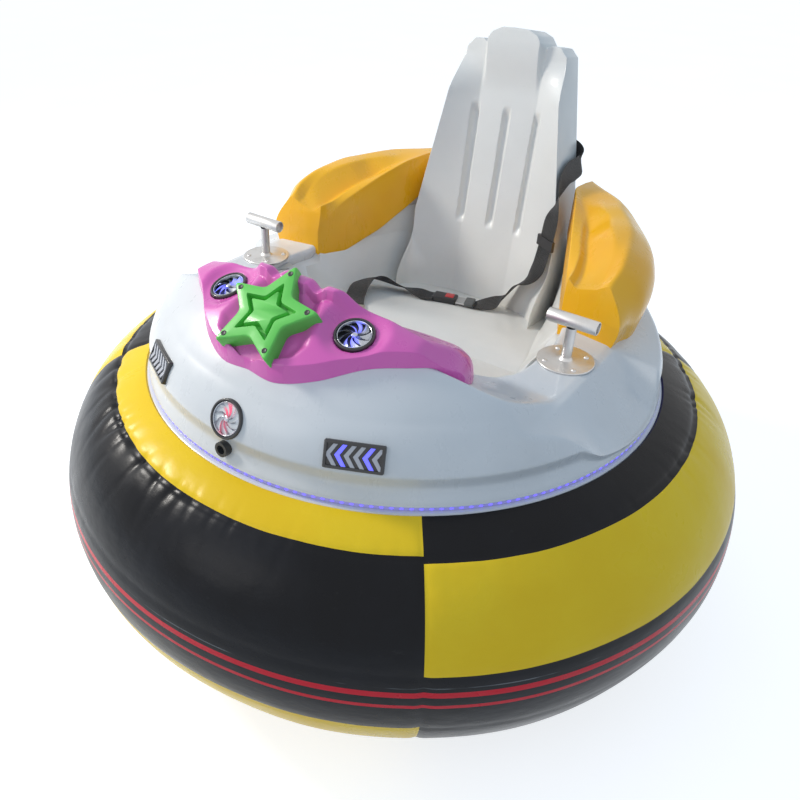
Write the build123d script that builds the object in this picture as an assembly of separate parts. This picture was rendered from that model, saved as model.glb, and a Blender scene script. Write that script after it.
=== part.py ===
"""Round children's bumper car: an inflated ring around a moulded hull on a steel chassis.

Millimetres, +Z up. The origin is on the floor under the ring's axis, the nose points to -Y,
and the driver's left hand is at +X.
"""

import math
import os

from build123d import *

os.makedirs("parts", exist_ok=True)

# Clearances
GAP = 0.3  # between rigid pieces that seat on each other
SOFT_GAP = 0.5  # between a soft piece and its neighbour
RUN_GAP = 0.05  # radial, shaft in bore

# Inflated ring
RING_R = 700.0
RING_BOTTOM = 55.0
TUBE_R = 235.0
TUBE_CENTRE_R = RING_R - TUBE_R
TUBE_CENTRE_Z = RING_BOTTOM + TUBE_R
RING_INNER_LOW_R = 365.0  # where the tube leaves its round section to lie on the drum

# Hull shell
WALL = 6.0
HULL_BOTTOM = 500.0
LIP_R = 519.0
LIP_H = 11.0
LIP_ROUND = 7.0
GROOVE_R = 505.0
GROOVE_H = 10.0
WAIST_R = 511.0
BULGE_R = 499.5
BULGE_Z = 592.0
SHOULDER_R = 462.0
SHOULDER_Z = 647.0
CROWN_MID_R = 404.0
CROWN_MID_Z = 702.0
CROWN_R = 330.0
CROWN_Z = 742.0
DECK_Z = 624.0

# Top of the hull seen from the side, from the cowl to the rear deck
#   y, z
TOP_ROWS = (
    (-340.0, CROWN_Z),
    (-262.0, 668.0),
    (-215.0, 645.0),
    (-150.0, DECK_Z),
    (70.0, DECK_Z),
    (150.0, 660.0),
    (300.0, 705.0),
)

# Slope of the hull's sides beyond the deck, seen from the front
#   x, z
WIDTH_ROWS = (
    (RING_R, 528.0),
    (400.0, DECK_Z),
    (270.0, 754.0),
)

# Cockpit: half outline from nose to back, at deck height and at seat height
#   deck x, deck y, seat x, seat y
COCKPIT_ROWS = (
    (92.0, -298.0, 88.0, -272.0),
    (150.0, -226.0, 150.0, -262.0),
    (228.0, -186.0, 194.0, -226.0),
    (286.0, -146.0, 203.0, -150.0),
    (311.0, -100.0, 206.0, -60.0),
    (314.0, 18.0, 206.0, 18.0),
    (299.0, 97.0, 200.0, 95.0),
    (191.0, 336.0, 176.0, 334.0),
)
COCKPIT_BACK_Y = 424.0
COCKPIT_BACK_X = 183.0
TUB_WALL = 5.0
TUB_LOFT_Z = 474.0
SEAT_FRONT_Y = 0.0
SEAT_FRONT_Z = 548.0
SEAT_REAR_Y = 304.0
SEAT_REAR_Z = 507.0
FOOTWELL_HALF_W = 185.0
FOOTWELL_FRONT_Y = -258.0
FOOTWELL_REAR_Y = -14.0

# Backrest
BACK_FACE_Y = 326.0  # front face at BACK_FACE_Z
BACK_FACE_Z = 692.0
BACK_LEAN = 0.10
BACK_DEPTH = 85.0
BACK_TOP_DEPTH = 58.0
BACK_TOP_DROP = 12.0  # how much lower the top is at the back
BACK_TOP_Z = 1080.0
FLUTE_X = 75.0
FLUTE_R = 8.0
FLUTE_LOW_Z = 675.0
FLUTE_HIGH_Z = 930.0
BOLSTER_RISE = 24.0
BOLSTER_X = 84.0
BACK_ROUND_FROM_Z = 1030.0
BACK_CORNER_R = 9.0

# Backrest's half outline from the front, from the seat up: x, z
BACK_ROWS = (
    (174.0, SEAT_REAR_Z),
    (176.0, 690.0),
    (146.0, 850.0),
    (110.0, 1042.0),
    (104.0, 1052.0),
    (82.0, 1050.0),
    (68.0, 1016.0),
    (60.0, 1060.0),
    (40.0, BACK_TOP_Z),
)
# Outer edge of the bolsters: z, x
BOLSTER_ROWS = ((600.0, 168.0), (690.0, 172.0), (850.0, 143.0), (1010.0, 113.0))

# Chassis
DRUM_R = 345.0
DRUM_WALL = 3.0
DRUM_BOTTOM = 95.0
FLANGE_R = 510.0
FLANGE_T = 3.0
FLOOR_Z = 150.0
FLOOR_T = 4.0
RAIL = 30.0
RAIL_X = 160.0
BATTERY = (280.0, 210.0, 200.0)
BATTERY_Y = 150.0
SEAT_POST_Y = 270.0
FOOTWELL_Z = FLOOR_Z + FLOOR_T + GAP + RAIL + GAP + TUB_WALL  # inside the tub, over the rails

# Drive wheels
WHEEL_R = 100.0
WHEEL_W = 50.0
WHEEL_X = 250.0
WHEEL_Y = 30.0
TYRE_T = 20.0
HUB_BORE_R = 10.0
WHEEL_SLOT_GAP = 12.0
TYRE_ROUND = 6.0
HUB_R = 24.0
RIM_T = 4.0
HUB_WEB_T = 8.0
HUB_HOLES = 6
HUB_HOLE_R = 9.0
HUB_HOLE_PCR = 50.0
MOTOR_R = 42.0
MOTOR_L = 110.0
MOTOR_GAP = 6.0
BRACKET_T = 6.0
NUT_R = 17.0
NUT_T = 6.0
NUT_GAP = 1.0

# Casters
CASTER_Y = 235.0
CASTER_R = 50.0
CASTER_W = 32.0
CASTER_TRAIL = 28.0
CASTER_FORK_T = 3.0
CASTER_FORK_GAP = 5.0
CASTER_PLATE = 84.0
CASTER_PLATE_T = 4.0
CASTER_RACE_R = 26.0
CASTER_RACE_H = 22.0
CASTER_LIFT = 0.3
CASTER_PIN_COVER = 2.0
CASTER_LEG_W = 26.0
CASTER_LEG_UNDER = 12.0
CASTER_HUB_R = 12.0
CASTER_HUB_GAP = 0.5
CASTER_NUT_OUT = 5.0
KINGPIN_R = 8.0
CASTER_AXLE_R = 5.0

# Joysticks
STICK_X = 357.0
STICK_Y = -22.0
STICK_BASE_R = 50.0
STICK_BASE_T = 3.0
STICK_STEM_R = 9.0
GRIP_Z = 702.0
GRIP_R = 12.0
GRIP_L = 90.0

# Lamps and the charging socket
ARROW_AZ = 26.0
ARROW_Z = 604.0
ARROW_W = 94.0
ARROW_H = 44.0
ARROW_D = 16.0
ARROW_PROUD = 5.0
LAMP_R = 33.0
LAMP_D = 18.0
LAMP_PROUD = 4.0
SOCKET_R = 13.0
SOCKET_BORE_R = 8.0
SOCKET_D = 22.0
SOCKET_PROUD = 4.0
SOCKET_Z = 553.0
NOSE_LAMP_Z = 604.0
DASH_LAMP_X = 136.0
DASH_LAMP_Y = -341.0
DASH_LAMP_Z = 751.0
DASH_LAMP_TILT = 38.0

# Dash cover: half outline in plan, from the nose to the tail and back
#   x, y
DASH_ROWS = (
    (60.0, -440.0),
    (120.0, -412.0),
    (180.0, -362.0),
    (235.0, -322.0),
    (292.0, -264.0),
    (284.0, -222.0),
    (264.0, -186.0),
    (232.0, -166.0),
    (183.0, -194.0),
    (141.0, -222.0),
    (112.0, -290.0),
    (84.0, -306.0),
)
DASH_T = 24.0
DASH_OVERHANG = 2.0

# Top of the dash cover from the side (y, z) and from the front (x, z)
DASH_SIDE_ROWS = (
    (-470.0, 715.0),
    (-430.0, 725.0),
    (-322.0, 786.0),
    (-303.0, 785.0),
    (-286.0, 738.0),
    (-223.0, 704.0),
    (-190.0, 686.0),
    (-150.0, 655.0),
)
DASH_FRONT_ROWS = (
    (90.0, 790.0),
    (150.0, 760.0),
    (235.0, 737.0),
    (268.0, 705.0),
    (310.0, 678.0),
)

# Star pad
STAR_Y = -394.0
STAR_Z = 755.0
STAR_TILT = 33.0
STAR_R = 92.0
STAR_INNER_R = 45.0
STAR_T = 60.0
STAR_ROUND = 5.0

# Side pods: the left pod's sections from the front to the rear, each in a vertical plane that
# leaves the inner edge at an angle from +X. Points of a section: flap (z), top of the inner face
# (z), step and rim (out, z), crest (out, z), shoulder and belly (radius from the ring's axis, z)
#   x, y, angle, flap, top, step, rim, crest, shoulder, belly
POD_ROWS = (
    (325.8, 11.6, 23.5, 575, 640, (0.5, 660), (40, 680), (55, 690), (405, 672), (414, 650)),
    (305.9, 57.5, 23.5, 578, 668, (0.5, 705), (52, 715), (73, 732), (418, 704), (430, 670)),
    (294.0, 85.0, 23.5, 582, 681, (1, 720), (65, 728), (87, 754), (432, 730), (450, 690)),
    (278.1, 121.7, 23.5, 595, 701, (11, 726), (76, 758), (96, 771), (448, 742), (463, 695)),
    (262.2, 158.4, 23.5, 610, 722, (18, 740), (74, 776), (104, 779), (456, 748), (470, 700)),
    (246.2, 195.0, 23.5, 626, 741, (18, 755), (69, 785), (106, 787), (461, 752), (473, 700)),
    (230.3, 231.7, 23.5, 642, 759, (19, 766), (68, 788), (100, 791), (462, 757), (474, 705)),
    (214.4, 268.4, 23.5, 665, 774, (21, 777), (54, 792), (89, 796), (462, 765), (474, 710)),
    (198.5, 305.1, 23.5, 688, 787, (12, 790), (47, 793), (86, 797), (464, 772), (474, 712)),
    (184.0, 338.0, 42.0, 711, 796, (10, 798), (40, 799), (58, 800), (464, 778), (474, 715)),
    (184.0, 385.0, 64.5, 716, 799, (6, 800), (14, 801), (22, 801), (464, 780), (474, 716)),
)
POD_FOOT_R = 20.0  # how far the pods draw in from the belly to the hull
POD_FOOT_Z = 600.0
POD_FRONT = ((282.0, 84.0), (398.0, 71.0))  # the upright front face in plan
POD_NOSE_Z = 664.0  # above it the front leans back
POD_NOSE_LEAN = 10.0

# Safety belt
WEB_W = 44.0
WEB_T = 2.5
BUCKLE = (54.0, 36.0, 15.0)
BUCKLE_X = -36.0
BUCKLE_Y = 227.0
BUCKLE_TURN = 20.0
TONGUE = (38.0, 40.0, 3.0)
TONGUE_SLOT = 9.0
BUCKLE_ROUND = 3.0
WEB_END = 1.5  # how far the webbing's end section stands off a fitting
SLIDER = (56.0, 22.0, 6.0)
SLIDER_ROW = 7  # which of the shoulder strap's points it sits on
ANCHOR = (50.0, 34.0, 4.0)
ANCHOR_BOLT_R = 8.0
ANCHOR_BOLT_H = 5.0
ANCHOR_TURN = 35.0

# Shoulder strap, from behind the backrest round its edge and down to the seat
#   x, y, z, direction across the webbing
SHOULDER_ROWS = (
    (122.0, 419.0, 860.0, (0.1, 0.0, 1.0)),
    (150.0, 417.0, 853.0, (0.1, 0.0, 1.0)),
    (163.0, 404.0, 843.0, (0.0, -0.4, 0.9)),
    (163.0, 372.0, 822.0, (0.0, -0.6, 0.8)),
    (165.0, 338.0, 800.0, (0.1, -0.7, 0.7)),
    (173.0, 298.0, 776.0, (0.35, -0.85, 0.35)),
    (166.0, 282.0, 742.0, (0.85, -0.53, 0.0)),
    (158.0, 290.0, 690.0, (0.85, -0.53, 0.0)),
    (155.0, 288.0, 658.0, (0.85, -0.53, 0.0)),
    (149.0, 286.0, 632.0, (0.85, -0.5, 0.1)),
    (134.0, 284.0, 608.0, (0.75, -0.5, 0.4)),
    (108.0, 280.0, 580.0, (0.4, -0.7, 0.6)),
    (76.0, 272.0, 536.0, (0.1, 0.9, 0.4)),
)
# Lap strap, from the buckle to its anchor
#   x, y, height over the seat, direction across the webbing
LAP_ROWS = (
    (-90.0, 207.0, 8.0, (-0.3, 0.9, 0.0)),
    (-132.0, 196.0, 14.0, (-0.3, 0.7, -0.4)),
    (-172.0, 180.0, 24.0, (-0.45, 0.6, -0.6)),
    (-196.0, 152.0, 28.0, (-0.7, 0.5, -0.4)),
    (-194.0, 116.0, 22.0, (-0.95, 0.2, -0.1)),
    (-178.0, 72.0, 10.0, (-0.95, -0.2, 0.0)),
)
LAP_ANCHOR_X = -146.0
LAP_ANCHOR_Y = 22.0


def ring_about_z(sketch):
    """A full revolve about Z of a sketch drawn in the XZ plane."""
    return revolve(Plane.XZ * sketch, Axis.Z)


def mirrored(table):
    """A closed outline from half rows, the +X half first and the -X half back."""
    return [(x, y) for x, y in table] + [(-x, y) for x, y in reversed(table)]


def circle_centre(a, m, b):
    """Centre of the circle through three points."""
    ax, ay, mx, my, bx, by = *a, *m, *b
    d = 2 * (ax * (my - by) + mx * (by - ay) + bx * (ay - my))
    ux = (ax**2 + ay**2) * (my - by) + (mx**2 + my**2) * (by - ay) + (bx**2 + by**2) * (ay - my)
    uy = (ax**2 + ay**2) * (bx - mx) + (mx**2 + my**2) * (ax - bx) + (bx**2 + by**2) * (mx - ax)
    return ux / d, uy / d


def inset_arc(a, m, b, inset):
    """The three points of an arc moved towards its centre by inset."""
    cx, cy = circle_centre(a, m, b)
    moved = []
    for px, py in (a, m, b):
        k = 1 - inset / math.hypot(px - cx, py - cy)
        moved.append((cx + (px - cx) * k, cy + (py - cy) * k))
    return moved


WAIST_Z = HULL_BOTTOM + LIP_H + LIP_ROUND + GROOVE_H


def hull_round(inset, crown_rise=0.0):
    """The hull's body of revolution above the waist, set in by inset."""
    a, m, b = inset_arc((WAIST_R, WAIST_Z), (BULGE_R, BULGE_Z), (SHOULDER_R, SHOULDER_Z), inset)
    c, n, d = inset_arc(
        (SHOULDER_R, SHOULDER_Z), (CROWN_MID_R, CROWN_MID_Z), (CROWN_R, CROWN_Z), inset
    )
    top = CROWN_Z - inset + crown_rise
    with BuildSketch() as s:
        with BuildLine():
            Line((0, HULL_BOTTOM - 10), (a[0], HULL_BOTTOM - 10))
            Line((a[0], HULL_BOTTOM - 10), a)
            ThreePointArc(a, m, b)
            if math.dist(b, c) > 0.001:
                Line(b, c)
            ThreePointArc(c, n, d)
            Line(d, (0, top))
            Line((0, top), (0, HULL_BOTTOM - 10))
        make_face()
    return ring_about_z(s.sketch)


def side_region(inset):
    """Everything under the hull's side outline, lowered by inset."""
    front, rear = TOP_ROWS[0], TOP_ROWS[-1]
    pts = [(-RING_R, 0), (-RING_R, front[1]), *TOP_ROWS, (RING_R, rear[1]), (RING_R, 0)]
    face = make_face(Polyline(*pts, close=True).edges())
    if inset:
        face = offset(face, -inset, kind=Kind.INTERSECTION)
    return extrude(Plane.YZ * face, RING_R, both=True)


def width_region(inset):
    """Everything under the hull's outline seen from the front, lowered by inset."""
    half = [(RING_R, 0), *WIDTH_ROWS]
    face = make_face(Polyline(*mirrored(half), close=True).edges())
    if inset:
        face = offset(face, -inset, kind=Kind.INTERSECTION)
    return extrude(Plane.XZ * face, RING_R, both=True)


def hull_solid(inset):
    """The filled hull above its waist, set in by inset on every side."""
    return hull_round(inset) & side_region(inset) & width_region(inset)


def cockpit_outline(row_x, row_y, grow):
    """One of the cockpit's two outlines as a face, grown outward."""
    table = [(row[row_x], row[row_y]) for row in COCKPIT_ROWS]
    table += [(COCKPIT_BACK_X, COCKPIT_BACK_Y)]
    face = make_face(Polyline(*mirrored(table), close=True).edges())
    return offset(face, grow, kind=Kind.INTERSECTION) if grow else face


def cockpit_space(grow):
    """The open space of the cockpit, grown by a wall's thickness or a clearance."""
    low = Pos(0, 0, TUB_LOFT_Z - grow) * cockpit_outline(2, 3, grow)
    high = Pos(0, 0, DECK_Z) * cockpit_outline(0, 1, grow)
    bowl = loft([low.face(), high.face()], ruled=True)
    shaft = extrude(high, 300)
    seat = [
        (SEAT_FRONT_Y + grow, 100),
        (SEAT_FRONT_Y + grow, SEAT_FRONT_Z - grow),
        (SEAT_REAR_Y, SEAT_REAR_Z - grow),
        (600, SEAT_REAR_Z - grow),
        (600, 100),
    ]
    block = extrude(Plane.YZ * make_face(Polyline(*seat, close=True).edges()), 400, both=True)
    length = FOOTWELL_REAR_Y - FOOTWELL_FRONT_Y + 2 * grow
    height = TUB_LOFT_Z - FOOTWELL_Z + 2 * grow
    well = Pos(0, (FOOTWELL_REAR_Y + FOOTWELL_FRONT_Y) / 2, FOOTWELL_Z - grow) * Box(
        2 * (FOOTWELL_HALF_W + grow),
        length,
        height,
        align=(Align.CENTER, Align.CENTER, Align.MIN),
    )
    return (bowl + shaft - block) + well


def surface_frame(azimuth, z):
    """Plane on the hull's outside at an azimuth from the nose, its normal pointing out."""
    if z < SHOULDER_Z:
        arc = (WAIST_R, WAIST_Z), (BULGE_R, BULGE_Z), (SHOULDER_R, SHOULDER_Z)
    else:
        arc = (SHOULDER_R, SHOULDER_Z), (CROWN_MID_R, CROWN_MID_Z), (CROWN_R, CROWN_Z)
    cx, cz = circle_centre(*arc)
    radius = math.dist((cx, cz), arc[0])
    r = cx + math.sqrt(radius**2 - (z - cz) ** 2)
    out = ((r - cx) / radius, (z - cz) / radius)
    a = math.radians(azimuth)
    across = (math.cos(a), math.sin(a), 0)
    return Plane(
        origin=(r * math.sin(a), -r * math.cos(a), z),
        x_dir=across,
        z_dir=(out[0] * math.sin(a), -out[0] * math.cos(a), out[1]),
    )


def band(points, width, thickness):
    """Webbing through a list of (point, direction across) stations."""
    faces = []
    for i, (p, across) in enumerate(points):
        before = points[max(i - 1, 0)][0]
        after = points[min(i + 1, len(points) - 1)][0]
        along = Vector(*after) - Vector(*before)
        x_dir = Vector(*across)
        x_dir = (x_dir - along * (x_dir.dot(along) / along.dot(along))).normalized()
        plane = Plane(origin=p, x_dir=x_dir, z_dir=along.normalized())
        faces.append((plane * Rectangle(width, thickness)).face())
    return loft(faces, ruled=True)


def back_face_y(z):
    """Y of the backrest's front face at a height."""
    return BACK_FACE_Y + BACK_LEAN * (z - BACK_FACE_Z)


def save(name, shape):
    """Write one sub-part."""
    export_step(shape, f"parts/{name}.step")


SIDES = (("left", 1), ("right", -1))
UP = (Align.CENTER, Align.CENTER, Align.MIN)  # stands on its own origin
across = Rot(0, 90, 0)  # turns a Z axis to X

# ---------------------------------------------------------------- ring

ring_edge_z = TUBE_CENTRE_Z + math.sqrt(TUBE_R**2 - (LIP_R + SOFT_GAP - TUBE_CENTRE_R) ** 2)
ring_low_z = TUBE_CENTRE_Z - math.sqrt(TUBE_R**2 - (RING_INNER_LOW_R - TUBE_CENTRE_R) ** 2)
flange_bottom = HULL_BOTTOM - GAP - FLANGE_T
with BuildSketch() as ring_section:
    with BuildLine():
        ThreePointArc(
            (LIP_R + SOFT_GAP, ring_edge_z), (RING_R, TUBE_CENTRE_Z), (RING_INNER_LOW_R, ring_low_z)
        )
        Line((RING_INNER_LOW_R, ring_low_z), (DRUM_R + SOFT_GAP, DRUM_BOTTOM))
        Line((DRUM_R + SOFT_GAP, DRUM_BOTTOM), (DRUM_R + SOFT_GAP, flange_bottom - SOFT_GAP))
        Line((DRUM_R + SOFT_GAP, flange_bottom - SOFT_GAP), (LIP_R + SOFT_GAP, flange_bottom - SOFT_GAP))
        Line((LIP_R + SOFT_GAP, flange_bottom - SOFT_GAP), (LIP_R + SOFT_GAP, ring_edge_z))
    make_face()
bumper_ring = ring_about_z(ring_section.sketch)
save("bumper_ring", bumper_ring)

# ---------------------------------------------------------------- hull, tub and dash

lip_top = HULL_BOTTOM + LIP_H
with BuildSketch() as lip_section:
    with BuildLine():
        Polyline(
            (LIP_R, HULL_BOTTOM),
            (LIP_R, lip_top),
        )
        ThreePointArc(
            (LIP_R, lip_top),
            (LIP_R - LIP_ROUND * (1 - math.sqrt(0.5)), lip_top + LIP_ROUND * math.sqrt(0.5)),
            (LIP_R - LIP_ROUND, lip_top + LIP_ROUND),
        )
        Polyline(
            (LIP_R - LIP_ROUND, lip_top + LIP_ROUND),
            (GROOVE_R, lip_top + LIP_ROUND),
            (GROOVE_R, WAIST_Z),
            (WAIST_R - 1, WAIST_Z),
            (WAIST_R - 1, WAIST_Z + WALL),
            (GROOVE_R - WALL, WAIST_Z + WALL),
            (GROOVE_R - WALL, HULL_BOTTOM),
            (LIP_R, HULL_BOTTOM),
        )
    make_face()
lip = ring_about_z(lip_section.sketch)

outer = hull_solid(0)
inner = hull_solid(WALL)
above_waist = Pos(0, 0, WAIST_Z) * Cylinder(
    RING_R, 400, align=(Align.CENTER, Align.CENTER, Align.MIN)
)
tub_clear = cockpit_space(TUB_WALL + GAP)
hull_shell = ((outer & above_waist) - inner + lip) - tub_clear

arrow_frames = {side: surface_frame(sign * ARROW_AZ, ARROW_Z) for side, sign in SIDES}
nose_lamp_frame = surface_frame(0, NOSE_LAMP_Z)
socket_frame = surface_frame(0, SOCKET_Z)


def lamp_box(frame, grow):
    """An arrow lamp's body, centred on its frame."""
    return frame * Pos(0, 0, ARROW_PROUD - ARROW_D / 2) * Box(
        ARROW_W + 2 * grow, ARROW_H + 2 * grow, ARROW_D + 2 * grow
    )


def lamp_can(frame, radius, depth, proud, grow=0.0):
    """A round lamp's or socket's body, its face standing proud of the frame."""
    return frame * Pos(0, 0, proud - depth / 2) * Cylinder(radius + grow, depth + 2 * grow)


for side, _ in SIDES:
    hull_shell -= lamp_box(arrow_frames[side], GAP)
    save(f"arrow_lamp_{side}", lamp_box(arrow_frames[side], 0))
hull_shell -= lamp_can(nose_lamp_frame, LAMP_R, LAMP_D, LAMP_PROUD, GAP)
hull_shell -= lamp_can(socket_frame, SOCKET_R, SOCKET_D, SOCKET_PROUD, GAP)
save("hull_shell", hull_shell)
save("nose_lamp", lamp_can(nose_lamp_frame, LAMP_R, LAMP_D, LAMP_PROUD))
socket_hole = lamp_can(socket_frame, SOCKET_BORE_R, SOCKET_D, SOCKET_PROUD + 4)
save("charge_socket", lamp_can(socket_frame, SOCKET_R, SOCKET_D, SOCKET_PROUD) - socket_hole)

led_section = make_face(
    Polyline(
        (GROOVE_R + GAP, WAIST_Z - GROOVE_H + 1),
        (WAIST_R - 2, WAIST_Z - GROOVE_H + 1),
        (WAIST_R - 2, WAIST_Z - 1),
        (GROOVE_R + GAP, WAIST_Z - 1),
        close=True,
    ).edges()
)
save("led_strip", ring_about_z(led_section))

tub = cockpit_space(TUB_WALL) - cockpit_space(0)
below_deck = side_region(0) & Pos(0, 0, 100) * Cylinder(
    DRUM_R + 150, 1000, align=(Align.CENTER, Align.CENTER, Align.MIN)
)
tub = tub & below_deck & (hull_round(0) + Pos(0, 0, 300) * Cylinder(DRUM_R, 500))
save("cockpit_tub", tub)

dash_face = make_face(Polyline(*mirrored(DASH_ROWS), close=True).edges())
dash_side = [(-RING_R, DECK_Z - 10), (-RING_R, DASH_SIDE_ROWS[0][1]), *DASH_SIDE_ROWS, (0, DECK_Z - 10)]
dash_front = [(-x, z) for x, z in reversed(DASH_FRONT_ROWS)] + list(DASH_FRONT_ROWS)
dash_front += [(RING_R, DECK_Z - 10), (-RING_R, DECK_Z - 10)]
dash_block = extrude(Plane.YZ * make_face(Polyline(*dash_side, close=True).edges()), RING_R, both=True)
dash_block &= extrude(Plane.XZ * make_face(Polyline(*dash_front, close=True).edges()), RING_R, both=True)
dash_block &= extrude(Pos(0, 0, HULL_BOTTOM) * dash_face, CROWN_Z)
dash_cover = dash_block & hull_round(-DASH_T, crown_rise=DASH_T * 2)
dash_cover -= hull_solid(-GAP)
dash_cover -= cockpit_space(-DASH_OVERHANG)


def dash_frame(sign):
    """Plane on the dash's outside under one of its lamps."""
    r = math.hypot(DASH_LAMP_X, DASH_LAMP_Y)
    a = sign * math.atan2(DASH_LAMP_X, -DASH_LAMP_Y)
    tilt = math.radians(DASH_LAMP_TILT)
    return Plane(
        origin=(r * math.sin(a), -r * math.cos(a), DASH_LAMP_Z),
        x_dir=(math.cos(a), math.sin(a), 0),
        z_dir=(math.sin(tilt) * math.sin(a), -math.sin(tilt) * math.cos(a), math.cos(tilt)),
    )


for side, sign in SIDES:
    frame = dash_frame(sign)
    dash_cover -= lamp_can(frame, LAMP_R, LAMP_D, LAMP_PROUD, GAP)
    save(f"dash_lamp_{side}", lamp_can(frame, LAMP_R, LAMP_D, LAMP_PROUD))
save("dash_cover", dash_cover)

# ---------------------------------------------------------------- star pad

star_plane = Plane(
    origin=(0, STAR_Y, STAR_Z),
    x_dir=(1, 0, 0),
    z_dir=(0, -math.sin(math.radians(STAR_TILT)), math.cos(math.radians(STAR_TILT))),
)
star_points = []
for i in range(10):
    r = STAR_R if i % 2 == 0 else STAR_INNER_R
    a = math.radians(90 + 36 * i)
    star_points.append((r * math.cos(a), r * math.sin(a)))
star_face = make_face(Polyline(*star_points, close=True).edges())
star_face = fillet(star_face.vertices(), STAR_ROUND)
star_pad = star_plane * extrude(star_face, -STAR_T)
star_pad -= extrude(Pos(0, 0, 600) * dash_face, 250) & hull_round(-DASH_T - GAP, crown_rise=60)
star_pad -= hull_round(-DASH_T - GAP)
save("star_pad", star_pad)


# ---------------------------------------------------------------- backrest and pods

back_outline = make_face(Polyline(*mirrored(BACK_ROWS), close=True).edges())
back_outline = fillet(
    [v for v in back_outline.vertices() if v.Y > BACK_ROUND_FROM_Z], BACK_CORNER_R
)
backrest = extrude(Plane.XZ * back_outline, -2 * COCKPIT_BACK_Y)
low_y, high_y = back_face_y(SEAT_REAR_Z), back_face_y(BACK_TOP_Z)
back_slab = make_face(
    Polyline(
        (low_y, SEAT_REAR_Z),
        (high_y, BACK_TOP_Z),
        (high_y + BACK_TOP_DEPTH, BACK_TOP_Z - BACK_TOP_DROP),
        (low_y + BACK_DEPTH, SEAT_REAR_Z),
        close=True,
    ).edges()
)
backrest &= extrude(Plane.YZ * back_slab, RING_R, both=True)
for x in (-FLUTE_X, 0, FLUTE_X):
    low = Vector(x, back_face_y(FLUTE_LOW_Z), FLUTE_LOW_Z)
    high = Vector(x, back_face_y(FLUTE_HIGH_Z), FLUTE_HIGH_Z)
    along = high - low
    flute = Plane(origin=low, z_dir=along) * Cylinder(
        FLUTE_R, along.length, align=(Align.CENTER, Align.CENTER, Align.MIN)
    )
    backrest -= flute
for sign in (1, -1):
    sections = []
    for z, edge in BOLSTER_ROWS:
        y = back_face_y(z)
        sections.append(
            Pos(0, 0, z)
            * make_face(
                Polyline(
                    (sign * BOLSTER_X, y),
                    (sign * edge, y - BOLSTER_RISE),
                    (sign * edge, y + 10),
                    (sign * BOLSTER_X, y + 10),
                    close=True,
                ).edges()
            )
        )
    backrest += loft([face.face() for face in sections], ruled=True)
save("seat_back", backrest)



def out_to_radius(x, y, angle, radius):
    """How far from (x, y) a line at an angle from +X is when it reaches a radius about Z."""
    along = x * math.cos(math.radians(angle)) + y * math.sin(math.radians(angle))
    return -along + math.sqrt(along**2 + radius**2 - x**2 - y**2)


pod_sections = []
for x, y, angle, flap, top, step, rim, crest, shoulder, belly in POD_ROWS:
    outside = [shoulder, belly, (belly[0] - POD_FOOT_R, POD_FOOT_Z)]
    outside = [(out_to_radius(x, y, angle, r), z) for r, z in outside]
    outward = Vector(math.cos(math.radians(angle)), math.sin(math.radians(angle)), 0)
    plane = Plane(origin=(x, y, 0), x_dir=outward, z_dir=outward.cross(Vector(0, 0, 1)))
    outline = Polyline((0, flap), (0, top), step, rim, crest, *outside, close=True)
    pod_sections.append((plane * make_face(outline.edges())).face())
pod = loft(pod_sections, ruled=True)
front_way = Vector(*POD_FRONT[1]) - Vector(*POD_FRONT[0])
front_plane = Plane(origin=(*POD_FRONT[0], POD_NOSE_Z), x_dir=front_way, z_dir=(0, 0, 1))
behind_front = Box(RING_R, RING_R, RING_R, align=(Align.CENTER, Align.MIN, Align.CENTER))
pod &= front_plane * behind_front
pod &= front_plane * Rot(-POD_NOSE_LEAN, 0, 0) * behind_front
pod -= Pos(0, 0, GAP) * hull_solid(0) - cockpit_space(-GAP)
pod = pod.solids().sort_by(SortBy.VOLUME)[-1]
save("side_pod_left", pod)
save("side_pod_right", mirror(pod, Plane.YZ))

# ---------------------------------------------------------------- joysticks

for side, sign in SIDES:
    foot = Pos(sign * STICK_X, STICK_Y, DECK_Z + GAP)
    stem_h = GRIP_Z - DECK_Z - GAP
    stem = foot * Cylinder(STICK_BASE_R, STICK_BASE_T, align=UP)
    stem += foot * Cylinder(STICK_STEM_R, stem_h, align=UP)
    along_grip = Pos(sign * STICK_X, STICK_Y, GRIP_Z) * across
    save(f"joystick_stem_{side}", stem - along_grip * Cylinder(GRIP_R + RUN_GAP, GRIP_L))
    save(f"joystick_grip_{side}", along_grip * Cylinder(GRIP_R, GRIP_L))

# ---------------------------------------------------------------- chassis

drum = Pos(0, 0, DRUM_BOTTOM) * Cylinder(DRUM_R, flange_bottom - DRUM_BOTTOM, align=UP)
drum += Pos(0, 0, flange_bottom) * Cylinder(FLANGE_R, FLANGE_T, align=UP)
drum -= Pos(0, 0, DRUM_BOTTOM) * Cylinder(DRUM_R - DRUM_WALL, HULL_BOTTOM - DRUM_BOTTOM, align=UP)
save("support_drum", drum)

floor_plate = Pos(0, 0, FLOOR_Z) * Cylinder(DRUM_R - DRUM_WALL - GAP, FLOOR_T, align=UP)
slot = Box(
    WHEEL_W + 2 * WHEEL_SLOT_GAP, 2 * (WHEEL_R + WHEEL_SLOT_GAP), 4 * FLOOR_T
)
for _, sign in SIDES:
    floor_plate -= Pos(sign * WHEEL_X, WHEEL_Y, FLOOR_Z) * slot
save("floor_plate", floor_plate)

rail_seat = FLOOR_Z + FLOOR_T + GAP
rail_half = math.sqrt((DRUM_R - DRUM_WALL) ** 2 - (RAIL_X + RAIL / 2) ** 2) - 5
for side, sign in SIDES:
    rail = Pos(sign * RAIL_X, 0, rail_seat) * Box(RAIL, 2 * rail_half, RAIL, align=UP)
    post_h = SEAT_FRONT_Z - rail_seat
    post = Pos(sign * RAIL_X, SEAT_POST_Y, rail_seat) * Box(RAIL, RAIL, post_h, align=UP)
    save(f"frame_rail_{side}", rail + post - tub_clear)

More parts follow.
